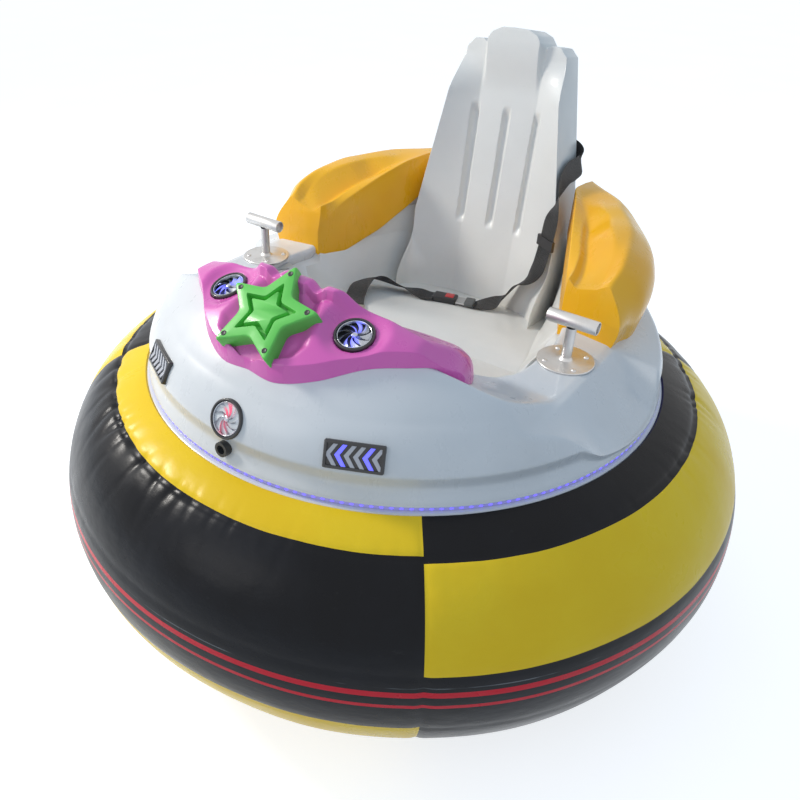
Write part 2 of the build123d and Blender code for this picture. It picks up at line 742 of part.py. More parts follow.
battery = Pos(0, BATTERY_Y, rail_seat) * Box(*BATTERY, align=UP)
save("battery_pack", battery)

# ---------------------------------------------------------------- drive

rim_r = WHEEL_R - TYRE_T - GAP
for side, sign in SIDES:
    wheel_at = Pos(sign * WHEEL_X, WHEEL_Y, WHEEL_R) * across
    tyre = Cylinder(WHEEL_R, WHEEL_W)
    tyre = fillet(tyre.edges().filter_by(GeomType.CIRCLE), TYRE_ROUND)
    tyre -= Cylinder(WHEEL_R - TYRE_T, WHEEL_W)
    save(f"drive_tyre_{side}", wheel_at * tyre)
    hub = Cylinder(rim_r, WHEEL_W) - Cylinder(rim_r - RIM_T, WHEEL_W)
    hub += Cylinder(rim_r, HUB_WEB_T) + Cylinder(HUB_R, WHEEL_W)
    hub -= Cylinder(HUB_BORE_R + RUN_GAP, WHEEL_W)
    for i in range(HUB_HOLES):
        hub -= Rot(0, 0, i * 360 / HUB_HOLES) * Pos(HUB_HOLE_PCR, 0, 0) * Cylinder(HUB_HOLE_R, WHEEL_W)
    save(f"drive_hub_{side}", wheel_at * hub)
    motor_face = WHEEL_X - WHEEL_W / 2 - MOTOR_GAP
    motor = Pos(sign * (motor_face - MOTOR_L / 2), WHEEL_Y, WHEEL_R) * across * Cylinder(MOTOR_R, MOTOR_L)
    motor += Pos(sign * (motor_face - BRACKET_T / 2), WHEEL_Y, WHEEL_R) * Box(
        BRACKET_T, 2 * MOTOR_R, FLOOR_Z - GAP - WHEEL_R, align=UP
    )
    save(f"drive_motor_{side}", motor)
    axle_l = MOTOR_GAP - GAP + WHEEL_W + NUT_GAP + NUT_T
    axle_mid = motor_face + GAP + axle_l / 2
    axle = Pos(sign * axle_mid, WHEEL_Y, WHEEL_R) * across * Cylinder(HUB_BORE_R, axle_l)
    nut_mid = axle_mid + axle_l / 2 - NUT_T / 2
    axle += Pos(sign * nut_mid, WHEEL_Y, WHEEL_R) * across * Cylinder(NUT_R, NUT_T)
    save(f"drive_axle_{side}", axle)

# ---------------------------------------------------------------- casters

race_bottom = FLOOR_Z - GAP - CASTER_PLATE_T - CASTER_RACE_H
pin_h = CASTER_RACE_H + CASTER_PLATE_T - CASTER_PIN_COVER
fork_x = CASTER_W / 2 + CASTER_FORK_GAP
for end, sign in (("front", -1), ("rear", 1)):
    pivot = Pos(0, sign * CASTER_Y, race_bottom)
    mount = pivot * Pos(0, 0, CASTER_RACE_H) * Box(CASTER_PLATE, CASTER_PLATE, CASTER_PLATE_T, align=UP)
    mount += pivot * Cylinder(CASTER_RACE_R, CASTER_RACE_H, align=UP)
    mount -= pivot * Cylinder(KINGPIN_R + RUN_GAP, pin_h, align=UP)
    save(f"caster_mount_{end}", mount)
    crown_z = -CASTER_LIFT - CASTER_FORK_T
    crown_l = CASTER_TRAIL + CASTER_RACE_R + CASTER_LEG_W / 2
    crown_y = CASTER_TRAIL + CASTER_LEG_W / 2 - crown_l / 2
    fork = Pos(0, crown_y, crown_z) * Box(2 * (fork_x + CASTER_FORK_T), crown_l, CASTER_FORK_T, align=UP)
    fork += Pos(0, 0, -CASTER_LIFT) * Cylinder(KINGPIN_R, pin_h - CASTER_LIFT, align=UP)
    axle_drop = CASTER_R - race_bottom
    leg_h = crown_z - axle_drop + CASTER_LEG_UNDER
    for x in (-1, 1):
        fork += Pos(x * (fork_x + CASTER_FORK_T / 2), CASTER_TRAIL, axle_drop - CASTER_LEG_UNDER) * Box(
            CASTER_FORK_T, CASTER_LEG_W, leg_h + CASTER_FORK_T, align=UP
        )
    at_axle = Pos(0, CASTER_TRAIL, axle_drop) * across
    fork += at_axle * Cylinder(CASTER_AXLE_R, 2 * (fork_x + CASTER_FORK_T + CASTER_NUT_OUT))
    save(f"caster_fork_{end}", pivot * fork)
    wheel = Cylinder(CASTER_R, CASTER_W) + Cylinder(CASTER_HUB_R, 2 * (fork_x - CASTER_HUB_GAP))
    wheel -= Cylinder(CASTER_AXLE_R + RUN_GAP, 2 * fork_x)
    save(f"caster_wheel_{end}", pivot * at_axle * wheel)

# ---------------------------------------------------------------- safety belt


def seat_z(y):
    """Height of the seat at a distance from the nose."""
    slope = (SEAT_REAR_Z - SEAT_FRONT_Z) / (SEAT_REAR_Y - SEAT_FRONT_Y)
    return SEAT_FRONT_Z + slope * (min(y, SEAT_REAR_Y) - SEAT_FRONT_Y)


def on_seat(x, y, lift, turn=0.0):
    """Plane on the seat at a height over it, turned about its normal by degrees."""
    slope = (SEAT_FRONT_Z - SEAT_REAR_Z) / (SEAT_REAR_Y - SEAT_FRONT_Y)
    plane = Plane(origin=(x, y, seat_z(y) + lift), x_dir=(1, 0, 0), z_dir=(0, slope, 1))
    return Plane(plane.location * Rot(0, 0, turn))


def plate_with_bolt(plane):
    """A belt anchor: a plate with a round bolt head on its outside."""
    plate = plane * Box(*ANCHOR, align=UP)
    return plate + plane * Pos(0, 0, ANCHOR[2]) * Cylinder(ANCHOR_BOLT_R, ANCHOR_BOLT_H, align=UP)


buckle_plane = on_seat(BUCKLE_X, BUCKLE_Y, GAP, BUCKLE_TURN)
buckle = buckle_plane * Pos(0, 0, BUCKLE[2] / 2) * Box(*BUCKLE)
save("belt_buckle", fillet(buckle.edges(), BUCKLE_ROUND))
tongue_plane = buckle_plane * Pos(BUCKLE[0] / 2 + GAP + TONGUE[0] / 2, 0, BUCKLE[2] / 2)
tongue = tongue_plane * Box(*TONGUE)
tongue -= tongue_plane * Pos(TONGUE[0] / 2 - TONGUE_SLOT, 0, 0) * Box(
    TONGUE_SLOT, TONGUE[1] - TONGUE_SLOT, 2 * TONGUE[2]
)
save("belt_tongue", tongue)

across_buckle = tuple(buckle_plane.y_dir)
strap = [((x, y, z), way) for x, y, z, way in SHOULDER_ROWS]
tongue_end = tongue_plane * Pos(TONGUE[0] / 2 + SOFT_GAP + WEB_END, 0, 0)
strap.append((tuple(tongue_end.position), across_buckle))
shoulder_strap = band(strap, WEB_W, WEB_T)

lap_start = buckle_plane * Pos(-BUCKLE[0] / 2 - SOFT_GAP - WEB_END, 0, BUCKLE[2] / 2)
lap = [(tuple(lap_start.position), across_buckle)]
lap += [((x, y, seat_z(y) + lift), way) for x, y, lift, way in LAP_ROWS]
lap_anchor = on_seat(LAP_ANCHOR_X, LAP_ANCHOR_Y, GAP, ANCHOR_TURN)
save("belt_anchor_seat", plate_with_bolt(lap_anchor))
lap_end = lap_anchor * Pos(0, ANCHOR[1] / 2 + SOFT_GAP + WEB_END, ANCHOR[2] / 2)
lap.append((tuple(lap_end.position), tuple(-lap_anchor.x_dir)))
save("lap_strap", band(lap, WEB_W, WEB_T))

rear_low = Vector(0, back_face_y(SEAT_REAR_Z) + BACK_DEPTH, SEAT_REAR_Z)
rear_high = Vector(0, back_face_y(BACK_TOP_Z) + BACK_TOP_DEPTH, BACK_TOP_Z - BACK_TOP_DROP)
rear_slope = (rear_high - rear_low).normalized()
wrap_x, _, wrap_z, _ = SHOULDER_ROWS[0]
rear_at = rear_low + rear_slope * ((wrap_z - rear_low.Z) / rear_slope.Z)
back_anchor = Plane(
    origin=(wrap_x - ANCHOR[0] / 2 - SOFT_GAP, rear_at.Y, wrap_z),
    x_dir=(1, 0, 0),
    z_dir=(0, rear_slope.Z, -rear_slope.Y),
)
save("belt_anchor_back", plate_with_bolt(back_anchor * Pos(0, 0, GAP)))

slider_at, slider_way = strap[SLIDER_ROW]
slider_x = Vector(*slider_way).normalized()
slider_plane = Plane(origin=slider_at, x_dir=slider_x, z_dir=slider_x.cross(Vector(0, 0, 1)))
slider = slider_plane * Box(*SLIDER)
save("belt_slider", slider - band(strap, WEB_W + 2 * SOFT_GAP, WEB_T + 2 * GAP))
save("shoulder_strap", shoulder_strap)
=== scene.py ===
"""Children's bumper car: an inflated ring round a moulded hull with pods, joysticks and a dash."""
from __future__ import annotations

import logging
import math
from dataclasses import dataclass
from enum import Enum
from itertools import product
from typing import Callable, Iterable, Sequence

import bmesh
import bpy
from mathutils import Matrix, Vector, noise


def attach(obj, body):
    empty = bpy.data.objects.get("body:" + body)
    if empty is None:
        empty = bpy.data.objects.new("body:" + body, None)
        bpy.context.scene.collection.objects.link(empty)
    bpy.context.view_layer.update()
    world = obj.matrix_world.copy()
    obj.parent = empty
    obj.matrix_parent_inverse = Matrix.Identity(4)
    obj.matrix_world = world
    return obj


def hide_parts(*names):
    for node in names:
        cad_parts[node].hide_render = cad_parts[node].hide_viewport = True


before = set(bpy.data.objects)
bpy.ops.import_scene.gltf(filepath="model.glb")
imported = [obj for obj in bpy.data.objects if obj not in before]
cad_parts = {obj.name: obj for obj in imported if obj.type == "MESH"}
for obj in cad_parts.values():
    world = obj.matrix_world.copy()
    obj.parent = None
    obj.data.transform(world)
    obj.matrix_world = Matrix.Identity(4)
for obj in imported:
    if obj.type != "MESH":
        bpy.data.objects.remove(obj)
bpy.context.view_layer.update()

log = logging.getLogger("bumper_car")
Pair = tuple[float, float]
Triple = tuple[float, float, float]
Line = tuple[Pair, ...]
Table = tuple[tuple[float, ...], ...]
Socket = bpy.types.NodeSocket
UP = Vector((0.0, 0.0, 1.0))
RING_TOP = 76.6  # section angle in degrees at which the ring's map starts
RING_TURN = 191.8  # degrees of section that the ring's outer skin covers
RING_SHARE = 0.92  # share of the map that the outer skin takes up


# ------------------------------------------------------------------ shader building


class Shader:
    """A node tree around one Principled surface, with short calls for the patterns used here."""

    def __init__(self, name: str) -> None:
        """Start a material with its output and surface.

        Args:
            name: the material's name.
        """
        self.material = bpy.data.materials.new(name)
        self.material.use_nodes = True
        self.tree = self.material.node_tree
        self.tree.nodes.clear()
        output = self.add("ShaderNodeOutputMaterial")
        self.surface = self.add("ShaderNodeBsdfPrincipled")
        self.tree.links.new(self.surface.outputs["BSDF"], output.inputs["Surface"])

    def add(self, kind: str, **settings: object) -> bpy.types.Node:
        """Add a node and set its properties.

        Args:
            kind: the node's type.
            **settings: its properties.

        Returns:
            The new node.
        """
        node = self.tree.nodes.new(kind)
        for key, value in settings.items():
            setattr(node, key, value)
        return node

    def feed(self, socket: Socket, value: object) -> None:
        """Link a socket to an input, or write a constant into it.

        Args:
            socket: the input.
            value: a socket, a number or a colour.
        """
        if isinstance(value, bpy.types.NodeSocket):
            self.tree.links.new(value, socket)
        elif isinstance(value, tuple) and socket.type == "RGBA" and len(value) == 3:
            socket.default_value = (*value, 1.0)
        else:
            socket.default_value = value

    def set(self, **values: object) -> None:
        """Write or link the surface's sockets; an underscore stands for a space."""
        for key, value in values.items():
            self.feed(self.surface.inputs[key.replace("_", " ")], value)

    def place(self, scale: Triple = (1.0, 1.0, 1.0)) -> Socket:
        """Object coordinates, stretched along each axis.

        Args:
            scale: the stretch along X, Y and Z.

        Returns:
            The coordinates.
        """
        mapping = self.add("ShaderNodeMapping")
        self.feed(mapping.inputs["Vector"], self.add("ShaderNodeTexCoord").outputs["Object"])
        mapping.inputs["Scale"].default_value = scale
        return mapping.outputs["Vector"]

    def uv(self) -> tuple[Socket, Socket]:
        """The piece's own two map coordinates.

        Returns:
            The two coordinates' sockets.
        """
        split = self.add("ShaderNodeSeparateXYZ")
        self.feed(split.inputs[0], self.add("ShaderNodeTexCoord").outputs["UV"])
        return split.outputs[0], split.outputs[1]

    def noise(self, vector: object, scale: float, detail: float = 3.0, rough: float = 0.5) -> Socket:
        """Cloudy noise from 0 to 1.

        Args:
            vector: where it is sampled.
            scale: cells to a metre.
            detail: octaves.
            rough: weight of the finer octaves.

        Returns:
            The noise.
        """
        node = self.add("ShaderNodeTexNoise")
        self.feed(node.inputs["Vector"], vector)
        node.inputs["Scale"].default_value = scale
        node.inputs["Detail"].default_value = detail
        node.inputs["Roughness"].default_value = rough
        return node.outputs["Fac"]

    def math(self, way: str, a: object, b: object = 0.0, clamp: bool = False) -> Socket:
        """One math operation on two values.

        Args:
            way: the operation.
            a: the first value.
            b: the second value.
            clamp: whether the result is kept from 0 to 1.

        Returns:
            The result.
        """
        node = self.add("ShaderNodeMath", operation=way, use_clamp=clamp)
        self.feed(node.inputs[0], a)
        self.feed(node.inputs[1], b)
        return node.outputs[0]

    def span(
        self, value: object, low: float, high: float, to_low: float = 0.0, to_high: float = 1.0
    ) -> Socket:
        """Map a range onto another with soft ends.

        Args:
            value: the value to map.
            low: start of its range.
            high: end of its range.
            to_low: result at the start.
            to_high: result at the end.

        Returns:
            The result.
        """
        node = self.add("ShaderNodeMapRange", interpolation_type="SMOOTHSTEP")
        for socket, number in zip(node.inputs[:5], (value, low, high, to_low, to_high)):
            self.feed(socket, number)
        return node.outputs[0]

    def mix(self, share: object, a: object, b: object) -> Socket:
        """Mix two colours.

        Args:
            share: the second colour's share.
            a: the first colour.
            b: the second colour.

        Returns:
            The colour.
        """
        node = self.add("ShaderNodeMix", data_type="RGBA")
        self.feed(node.inputs[0], share)
        self.feed(node.inputs[6], a)
        self.feed(node.inputs[7], b)
        return node.outputs[2]

    def bump(
        self, height: object, distance: float, strength: float = 1.0, under: Socket | None = None
    ) -> Socket:
        """A bumped normal, laid over another one where given.

        Args:
            height: the height to follow.
            distance: its depth in metres.
            strength: how much of it shows.
            under: the normal below it.

        Returns:
            The normal.
        """
        node = self.add("ShaderNodeBump")
        self.feed(node.inputs["Height"], height)
        node.inputs["Distance"].default_value = distance
        node.inputs["Strength"].default_value = strength
        if under is not None:
            self.feed(node.inputs["Normal"], under)
        return node.outputs["Normal"]


class Finish:
    """A finish with a record slot; its material is made once and shared."""

    _made: dict[object, bpy.types.Material] = {}
    name: str
    slot: str

    def paint(self, shader: Shader) -> None:
        """Fill in the shader."""
        raise NotImplementedError

    def material(self) -> bpy.types.Material:
        """The finish's material.

        Returns:
            The material, made on the first call.
        """
        if self not in Finish._made:
            shader = Shader(self.name)
            self.paint(shader)
            Finish._made[self] = shader.material
        return Finish._made[self]


@dataclass(frozen=True)
class Moulding(Finish):
    """Glossy moulded skin: gelcoat or plastic with a wavy surface, dull patches and dust in the gloss."""

    name: str
    slot: str
    colour: Triple
    shade: Triple
    roughness: float = 0.3
    coat: float = 0.5
    ripple: float = 0.0012
    grain: float = 0.00006
    specks: float = 0.0
    speck_colour: Triple = (0.36, 0.33, 0.28)

    def paint(self, shader: Shader) -> None:
        """Cloudy colour, uneven gloss, wide ripples and a fine skin.

        Args:
            shader: the shader to fill in.
        """
        at = shader.place()
        cloud = shader.noise(at, 5.0, 4.0, 0.55)
        share = shader.span(cloud, 0.35, 0.75)
        colour = shader.mix(share, self.colour, self.shade)
        if self.specks:
            dots = shader.span(shader.noise(at, 260.0, 2.0, 0.6), 0.66, 0.74)
            colour = shader.mix(shader.math("MULTIPLY", dots, self.specks), colour, self.speck_colour)
        smear = shader.noise(shader.place(scale=(14.0, 14.0, 5.0)), 1.6, 5.0, 0.65)
        gloss = shader.span(smear, 0.3, 0.75, self.roughness - 0.05, self.roughness + 0.12)
        wide = shader.bump(shader.noise(at, 7.0, 1.0, 0.4), self.ripple)
        fine = shader.bump(shader.noise(at, 900.0, 2.0, 0.5), self.grain, 1.0, wide)
        shader.set(Base_Color=colour, Roughness=gloss, Normal=fine, Coat_Weight=self.coat)
        shader.set(Coat_Roughness=0.12, IOR=1.5)


@dataclass(frozen=True)
class RingVinyl(Finish):
    """Black and yellow coated fabric in welded bands, with two red lines round the widest part."""

    name: str = "ring_vinyl"
    slot: str = "ring_pvc"
    yellow: Triple = (0.92, 0.62, 0.022)
    black: Triple = (0.004, 0.0045, 0.0065)
    red: Triple = (0.66, 0.012, 0.03)
    worn_yellow: Triple = (0.87, 0.55, 0.016)
    worn_black: Triple = (0.010, 0.011, 0.015)
    panels: float = 4.0
    top_odd: float = 61.0
    top_even: float = 58.2
    belt_top: float = 17.4
    belt_low: float = -11.8
    red_lines: Line = ((9.3, 1.25), (3.4, 0.8))
    rub_at: float = 12.6
    rub_half: float = 0.22
    wave: float = 0.004

    @staticmethod
    def angle_line(degrees: float) -> float:
        """The map coordinate of a section angle."""
        return (RING_TOP - degrees) / RING_TURN * RING_SHARE

    def paint(self, shader: Shader) -> None:
        """Bands from the ring's own map: around it and round its section.

        Args:
            shader: the shader to fill in.
        """
        around, section = shader.uv()
        quarter = shader.math("FLOOR", shader.math("MULTIPLY", around, self.panels))
        odd = shader.math("MODULO", quarter, 2.0)
        cloud = shader.math("SUBTRACT", shader.noise(shader.place(), 9.0, 1.0), 0.5)
        edge_wave = shader.math("MULTIPLY", cloud, self.wave)
        wavy = shader.math("ADD", section, edge_wave)
        even = shader.math("SUBTRACT", 1.0, odd)
        top_line = self.angle_line(self.top_odd)
        step = shader.math("MULTIPLY", even, self.angle_line(self.top_even) - top_line)
        in_top = shader.math("LESS_THAN", shader.math("SUBTRACT", wavy, step), top_line)
        in_low = shader.math("GREATER_THAN", wavy, self.angle_line(self.belt_low))
        outer = shader.math("MAXIMUM", in_top, in_low)
        is_yellow = shader.math("SUBTRACT", 1.0, shader.math("ABSOLUTE", shader.math("SUBTRACT", outer, odd)))
        above = shader.math("LESS_THAN", wavy, self.angle_line(self.belt_top))
        belt = shader.math("SUBTRACT", shader.math("SUBTRACT", 1.0, above), in_low, clamp=True)
        is_yellow = shader.math("MULTIPLY", is_yellow, shader.math("SUBTRACT", 1.0, belt))
        worn = shader.noise(shader.place(), 3.0, 5.0, 0.6)
        yellow = shader.mix(shader.span(worn, 0.35, 0.7), self.yellow, self.worn_yellow)
        black = shader.mix(shader.span(worn, 0.4, 0.75), self.black, self.worn_black)
        colour = shader.mix(is_yellow, black, yellow)
        for centre, half in self.red_lines:
            away = shader.math("ABSOLUTE", shader.math("SUBTRACT", section, self.angle_line(centre)))
            line = shader.math("LESS_THAN", away, half / RING_TURN * RING_SHARE)
            colour = shader.mix(line, colour, self.red)
        rub_way = shader.math("ABSOLUTE", shader.math("SUBTRACT", wavy, self.angle_line(self.rub_at)))
        rubbed = shader.math("LESS_THAN", rub_way, self.rub_half / RING_TURN * RING_SHARE)
        patches = shader.noise(shader.place(scale=(1, 1, 0.2)), 3.0, 4.0, 0.7)
        broken = shader.span(patches, 0.5, 0.62, 0.0, 0.35)
        colour = shader.mix(shader.math("MULTIPLY", rubbed, broken), colour, (0.4, 0.41, 0.42))
        grime = shader.noise(shader.place(scale=(1, 1, 3)), 30.0, 6.0, 0.7)
        dust = shader.span(grime, 0.6, 0.78, 0.0, 0.02)
        colour = shader.mix(dust, colour, (0.45, 0.44, 0.42))
        gloss = shader.span(shader.noise(shader.place(), 6.0, 4.0, 0.6), 0.3, 0.75, 0.24, 0.36)
        weave = shader.bump(shader.noise(shader.place(), 700.0, 1.0, 0.4), 0.00005)
        puckers = shader.noise(shader.place(scale=(1, 1, 2.2)), 26.0, 3.0, 0.5)
        rumple = shader.bump(puckers, 0.0007, 1.0, weave)
        shader.set(Base_Color=colour, Roughness=gloss, Normal=rumple)
        shader.set(Specular_IOR_Level=0.18, IOR=1.5)


@dataclass(frozen=True)
class Steel(Finish):
    """Bare or plated metal with fine draw lines, smears and slight tarnish."""

    name: str
    slot: str
    colour: Triple = (0.66, 0.67, 0.68)
    tarnish: Triple = (0.42, 0.41, 0.4)
    roughness: float = 0.24
    lines: Triple = (1.0, 1.0, 60.0)

    def paint(self, shader: Shader) -> None:
        """Draw lines along one axis over a cloudy gloss.

        Args:
            shader: the shader to fill in.
        """
        at = shader.place()
        drawn = shader.noise(shader.place(scale=self.lines), 40.0, 3.0, 0.6)
        cloud = shader.noise(at, 24.0, 4.0, 0.6)
        smears = shader.span(cloud, 0.3, 0.8, self.roughness, self.roughness + 0.18)
        gloss = shader.math("ADD", smears, shader.math("MULTIPLY", drawn, 0.08))
        colour = shader.mix(shader.span(cloud, 0.5, 0.85), self.colour, self.tarnish)
        shader.set(Base_Color=colour, Roughness=gloss, Metallic=1.0)
        shader.set(Normal=shader.bump(drawn, 0.00004, 0.8))


@dataclass(frozen=True)
class Paint(Finish):
    """Painted or powder-coated metal with orange peel, scuffs and dust."""

    name: str
    slot: str
    colour: Triple
    scuff: Triple = (0.35, 0.35, 0.34)
    roughness: float = 0.42
    peel: float = 0.0001

    def paint(self, shader: Shader) -> None:
        """Peel bumps and pale scuffs.

        Args:
            shader: the shader to fill in.
        """
        at = shader.place()
        scratches = shader.noise(shader.place(scale=(1.0, 3.0, 1.0)), 60.0, 8.0, 0.75)
        marks = shader.span(scratches, 0.62, 0.78)
        colour = shader.mix(shader.math("MULTIPLY", marks, 0.45), self.colour, self.scuff)
        smear = shader.noise(at, 12.0, 4.0, 0.6)
        gloss = shader.span(smear, 0.3, 0.75, self.roughness - 0.06, self.roughness + 0.16)
        peel = shader.bump(shader.noise(at, 420.0, 2.0), self.peel)
        shader.set(Base_Color=colour, Roughness=gloss, Normal=peel)


@dataclass(frozen=True)
class Rubber(Finish):
    """Rubber or matte plastic with a dusty bloom and fine pores."""

    name: str
    slot: str
    colour: Triple = (0.022, 0.022, 0.023)
    bloom: Triple = (0.12, 0.115, 0.105)
    roughness: float = 0.62
    dusty: float = 0.35

    def paint(self, shader: Shader) -> None:
        """Bloom in clouds over a pored skin.

        Args:
            shader: the shader to fill in.
        """
        at = shader.place()
        cloud = shader.span(shader.noise(at, 18.0, 6.0, 0.65), 0.45, 0.8)
        colour = shader.mix(shader.math("MULTIPLY", cloud, self.dusty), self.colour, self.bloom)
        gloss = shader.span(cloud, 0.0, 1.0, self.roughness, min(self.roughness + 0.2, 1.0))
        pores = shader.bump(shader.noise(at, 650.0, 3.0), 0.0001)
        shader.set(Base_Color=colour, Roughness=gloss, Normal=pores)


@dataclass(frozen=True)
class Webbing(Finish):
    """Woven belt webbing: ribs along the strap, a twill across it and paler edges."""

    name: str = "belt_webbing"
    slot: str = "webbing_black"
    colour: Triple = (0.010, 0.010, 0.011)
    worn: Triple = (0.045, 0.044, 0.042)
    ribs: float = 9.0
    twill: Pair = (62.0, 22.0)

    def paint(self, shader: Shader) -> None:
        """A weave from the strap's own map, in which one unit is the strap's width.

        Args:
            shader: the shader to fill in.
        """
        along, over = shader.uv()
        ribs = shader.math("SINE", shader.math("MULTIPLY", over, 2 * math.pi * self.ribs))
        lengthwise = shader.math("MULTIPLY", along, self.twill[0])
        twill = shader.math("ADD", lengthwise, shader.math("MULTIPLY", over, self.twill[1]))
        threads = shader.math("SINE", shader.math("MULTIPLY", twill, 2 * math.pi))
        high_ribs = shader.math("MULTIPLY", ribs, 0.6)
        height = shader.math("ADD", high_ribs, shader.math("MULTIPLY", threads, 0.4))
        rubbed = shader.noise(shader.place(), 30.0, 5.0, 0.6)
        edge = shader.math("ABSOLUTE", shader.math("SUBTRACT", over, 0.5))
        share = shader.math("MULTIPLY", shader.span(edge, 0.38, 0.5), 0.6)
        share = shader.math("ADD", share, shader.span(rubbed, 0.5, 0.8, 0.0, 0.5), clamp=True)
        share = shader.math("MULTIPLY", share, shader.span(height, -0.6, 0.8, 0.3, 1.0))
        shader.set(Base_Color=shader.mix(share, self.colour, self.worn), Roughness=0.62)
        shader.set(Normal=shader.bump(height, 0.0004, 0.9), Sheen_Weight=0.12, Sheen_Roughness=0.4)


@dataclass(frozen=True)
class Glow(Finish):
    """A lit plastic face, slightly mottled; on the switched-off arrows and the LED carrier its glow is
    painted light.
    """

    name: str
    slot: str
    colour: Triple
    glow: Triple
    strength: float = 1.0

    def paint(self, shader: Shader) -> None:
        """Lit plastic with a slight mottling.

        Args:
            shader: the shader to fill in.
        """
        mottle = shader.span(shader.noise(shader.place(), 300.0, 2.0), 0.3, 0.7, 0.75, 1.0)
        shader.set(Base_Color=self.colour, Roughness=0.35, Emission_Strength=self.strength)
        shader.set(Emission_Color=shader.mix(mottle, tuple(c * 0.6 for c in self.glow), self.glow))


@dataclass(frozen=True)
class LampVanes(Finish):
    """Plated lamp vanes, coloured by two small lamps behind them."""

    name: str
    slot: str
    spots: tuple[Triple, Triple]
    glow: Triple
    strength: float
    plate: Triple = (0.50, 0.52, 0.56)
    reach: float = 0.015

    def paint(self, shader: Shader) -> None:
        """Plating with light that falls off from each of the two spots.

        Args:
            shader: the shader to fill in.
        """
        at = shader.place()
        light: object = 0.0
        for spot in self.spots:
            gap = shader.add("ShaderNodeVectorMath", operation="DISTANCE")
            shader.feed(gap.inputs[0], at)
            gap.inputs[1].default_value = spot
            pool = shader.span(gap.outputs["Value"], self.reach * 0.25, self.reach, 1.0, 0.0)
            light = shader.math("ADD", light, pool)
        scratched = shader.noise(at, 500.0, 3.0)
        shader.set(Base_Color=shader.mix(light, self.plate, self.glow), Metallic=0.7)
        shader.set(Roughness=shader.span(scratched, 0.3, 0.8, 0.16, 0.34), Emission_Color=self.glow)
        shader.set(Emission_Strength=shader.math("MULTIPLY", light, self.strength))


# Painted light: hull, tub and backrest are one white gelcoat; the hull copy is darker to hold back the key
# lamp's light, the tub and backrest copies lighter to lift the cockpit's shade.
WHITE = Moulding(
    "hull_gelcoat_dimmed_for_light", "hull_white", (0.72, 0.72, 0.715), (0.66, 0.66, 0.655), 0.3, 0.3, 0.0010, 0.00005, 0.1
)
TUB_WHITE_SHADE_LIFTED = Moulding(
    "tub_gelcoat_lifted_for_shade", "hull_white", (0.78, 0.77, 0.73), (0.71, 0.70, 0.66), 0.36, 0.2, 0.0012, 0.00005, 0.12
)
BACK_WHITE_SHADE_LIFTED = Moulding(
    "back_gelcoat_lifted_for_shade", "hull_white", (0.80, 0.79, 0.75), (0.75, 0.74, 0.70), 0.38, 0.2, 0.0012, 0.00005, 0.1
)
POD = Moulding("pod_yellow_gloss", "pod_yellow", (0.97, 0.485, 0.004), (0.95, 0.43, 0.003), 0.28, 0.2, 0.0010)
DASH = Moulding(
    "dash_magenta_gloss", "dash_magenta", (0.74, 0.115, 0.46), (0.68, 0.09, 0.41), 0.3, 0.3, 0.0008
)
STAR = Moulding("star_green_satin", "star_green", (0.13, 0.60, 0.09), (0.10, 0.52, 0.07), 0.42, 0.12, 0.0006)
BLACK_GLOSS = Moulding(
    "lamp_case_black", "lamp_black", (0.02, 0.02, 0.022), (0.03, 0.03, 0.033), 0.3, 0.3, 0.0003
)
BLACK_PLASTIC = Rubber("black_plastic", "socket_black", (0.024, 0.024, 0.025), (0.1, 0.1, 0.1), 0.45, 0.2)
RED_BUTTON = Moulding("buckle_red", "socket_black", (0.55, 0.03, 0.03), (0.45, 0.02, 0.02), 0.35, 0.2, 0.0002)
STAINLESS = Steel("stick_stainless", "steel_bright", (0.62, 0.62, 0.62), (0.5, 0.49, 0.48), 0.3)
DARK_PLATE = Steel("slider_dark_plate", "steel_bright", (0.10, 0.10, 0.105), (0.06, 0.06, 0.062), 0.4)
ZINC = Steel("caster_zinc_plate", "caster_zinc", (0.6, 0.6, 0.58), (0.4, 0.39, 0.36), 0.32)
ALLOY = Steel("hub_cast_alloy", "hub_alloy", (0.6, 0.6, 0.6), (0.38, 0.38, 0.38), 0.38)
FRAME_PAINT = Paint("frame_grey_paint", "frame_grey", (0.1, 0.105, 0.11))
MOTOR_PAINT = Paint("motor_black_paint", "motor_black", (0.022, 0.022, 0.023), (0.2, 0.2, 0.2), 0.36)
TONGUE_GREY = Rubber("tongue_grey", "socket_black", (0.1, 0.105, 0.105), (0.2, 0.2, 0.2), 0.5, 0.3)
BATTERY_CASE = Rubber(
    "battery_case_plastic", "battery_case", (0.05, 0.05, 0.054), (0.16, 0.155, 0.15), 0.5, 0.4
)
TYRE = Rubber("tyre_rubber", "tyre_black", (0.02, 0.02, 0.021), (0.13, 0.12, 0.105), 0.68, 0.5)
CASTER_TREAD = Rubber("caster_tread", "caster_rubber", (0.07, 0.07, 0.072), (0.2, 0.19, 0.17), 0.55, 0.45)
# Painted light: the switched-off arrow strips glow faintly.
LENS_GREY_PAINTED_GLOW = Glow("arrow_unlit_painted_glow", "lamp_black", (0.42, 0.42, 0.44), (0.4, 0.4, 0.45), 0.12)
LENS_BLUE = Glow("arrow_lit_blue", "lamp_black", (0.12, 0.12, 0.8), (0.12, 0.12, 1.0), 1.3)
LED_BLUE = Glow("led_dot_blue", "led_blue", (0.2, 0.18, 0.9), (0.16, 0.12, 1.0), 1.3)
# Painted light: the LED carrier glows with a spill of the dots' light though it is no lamp.
LED_CARRIER_PAINTED_GLOW = Glow("led_carrier_painted_glow", "led_blue", (0.34, 0.33, 0.62), (0.3, 0.27, 0.85), 0.3)


# ------------------------------------------------------------------ mesh building


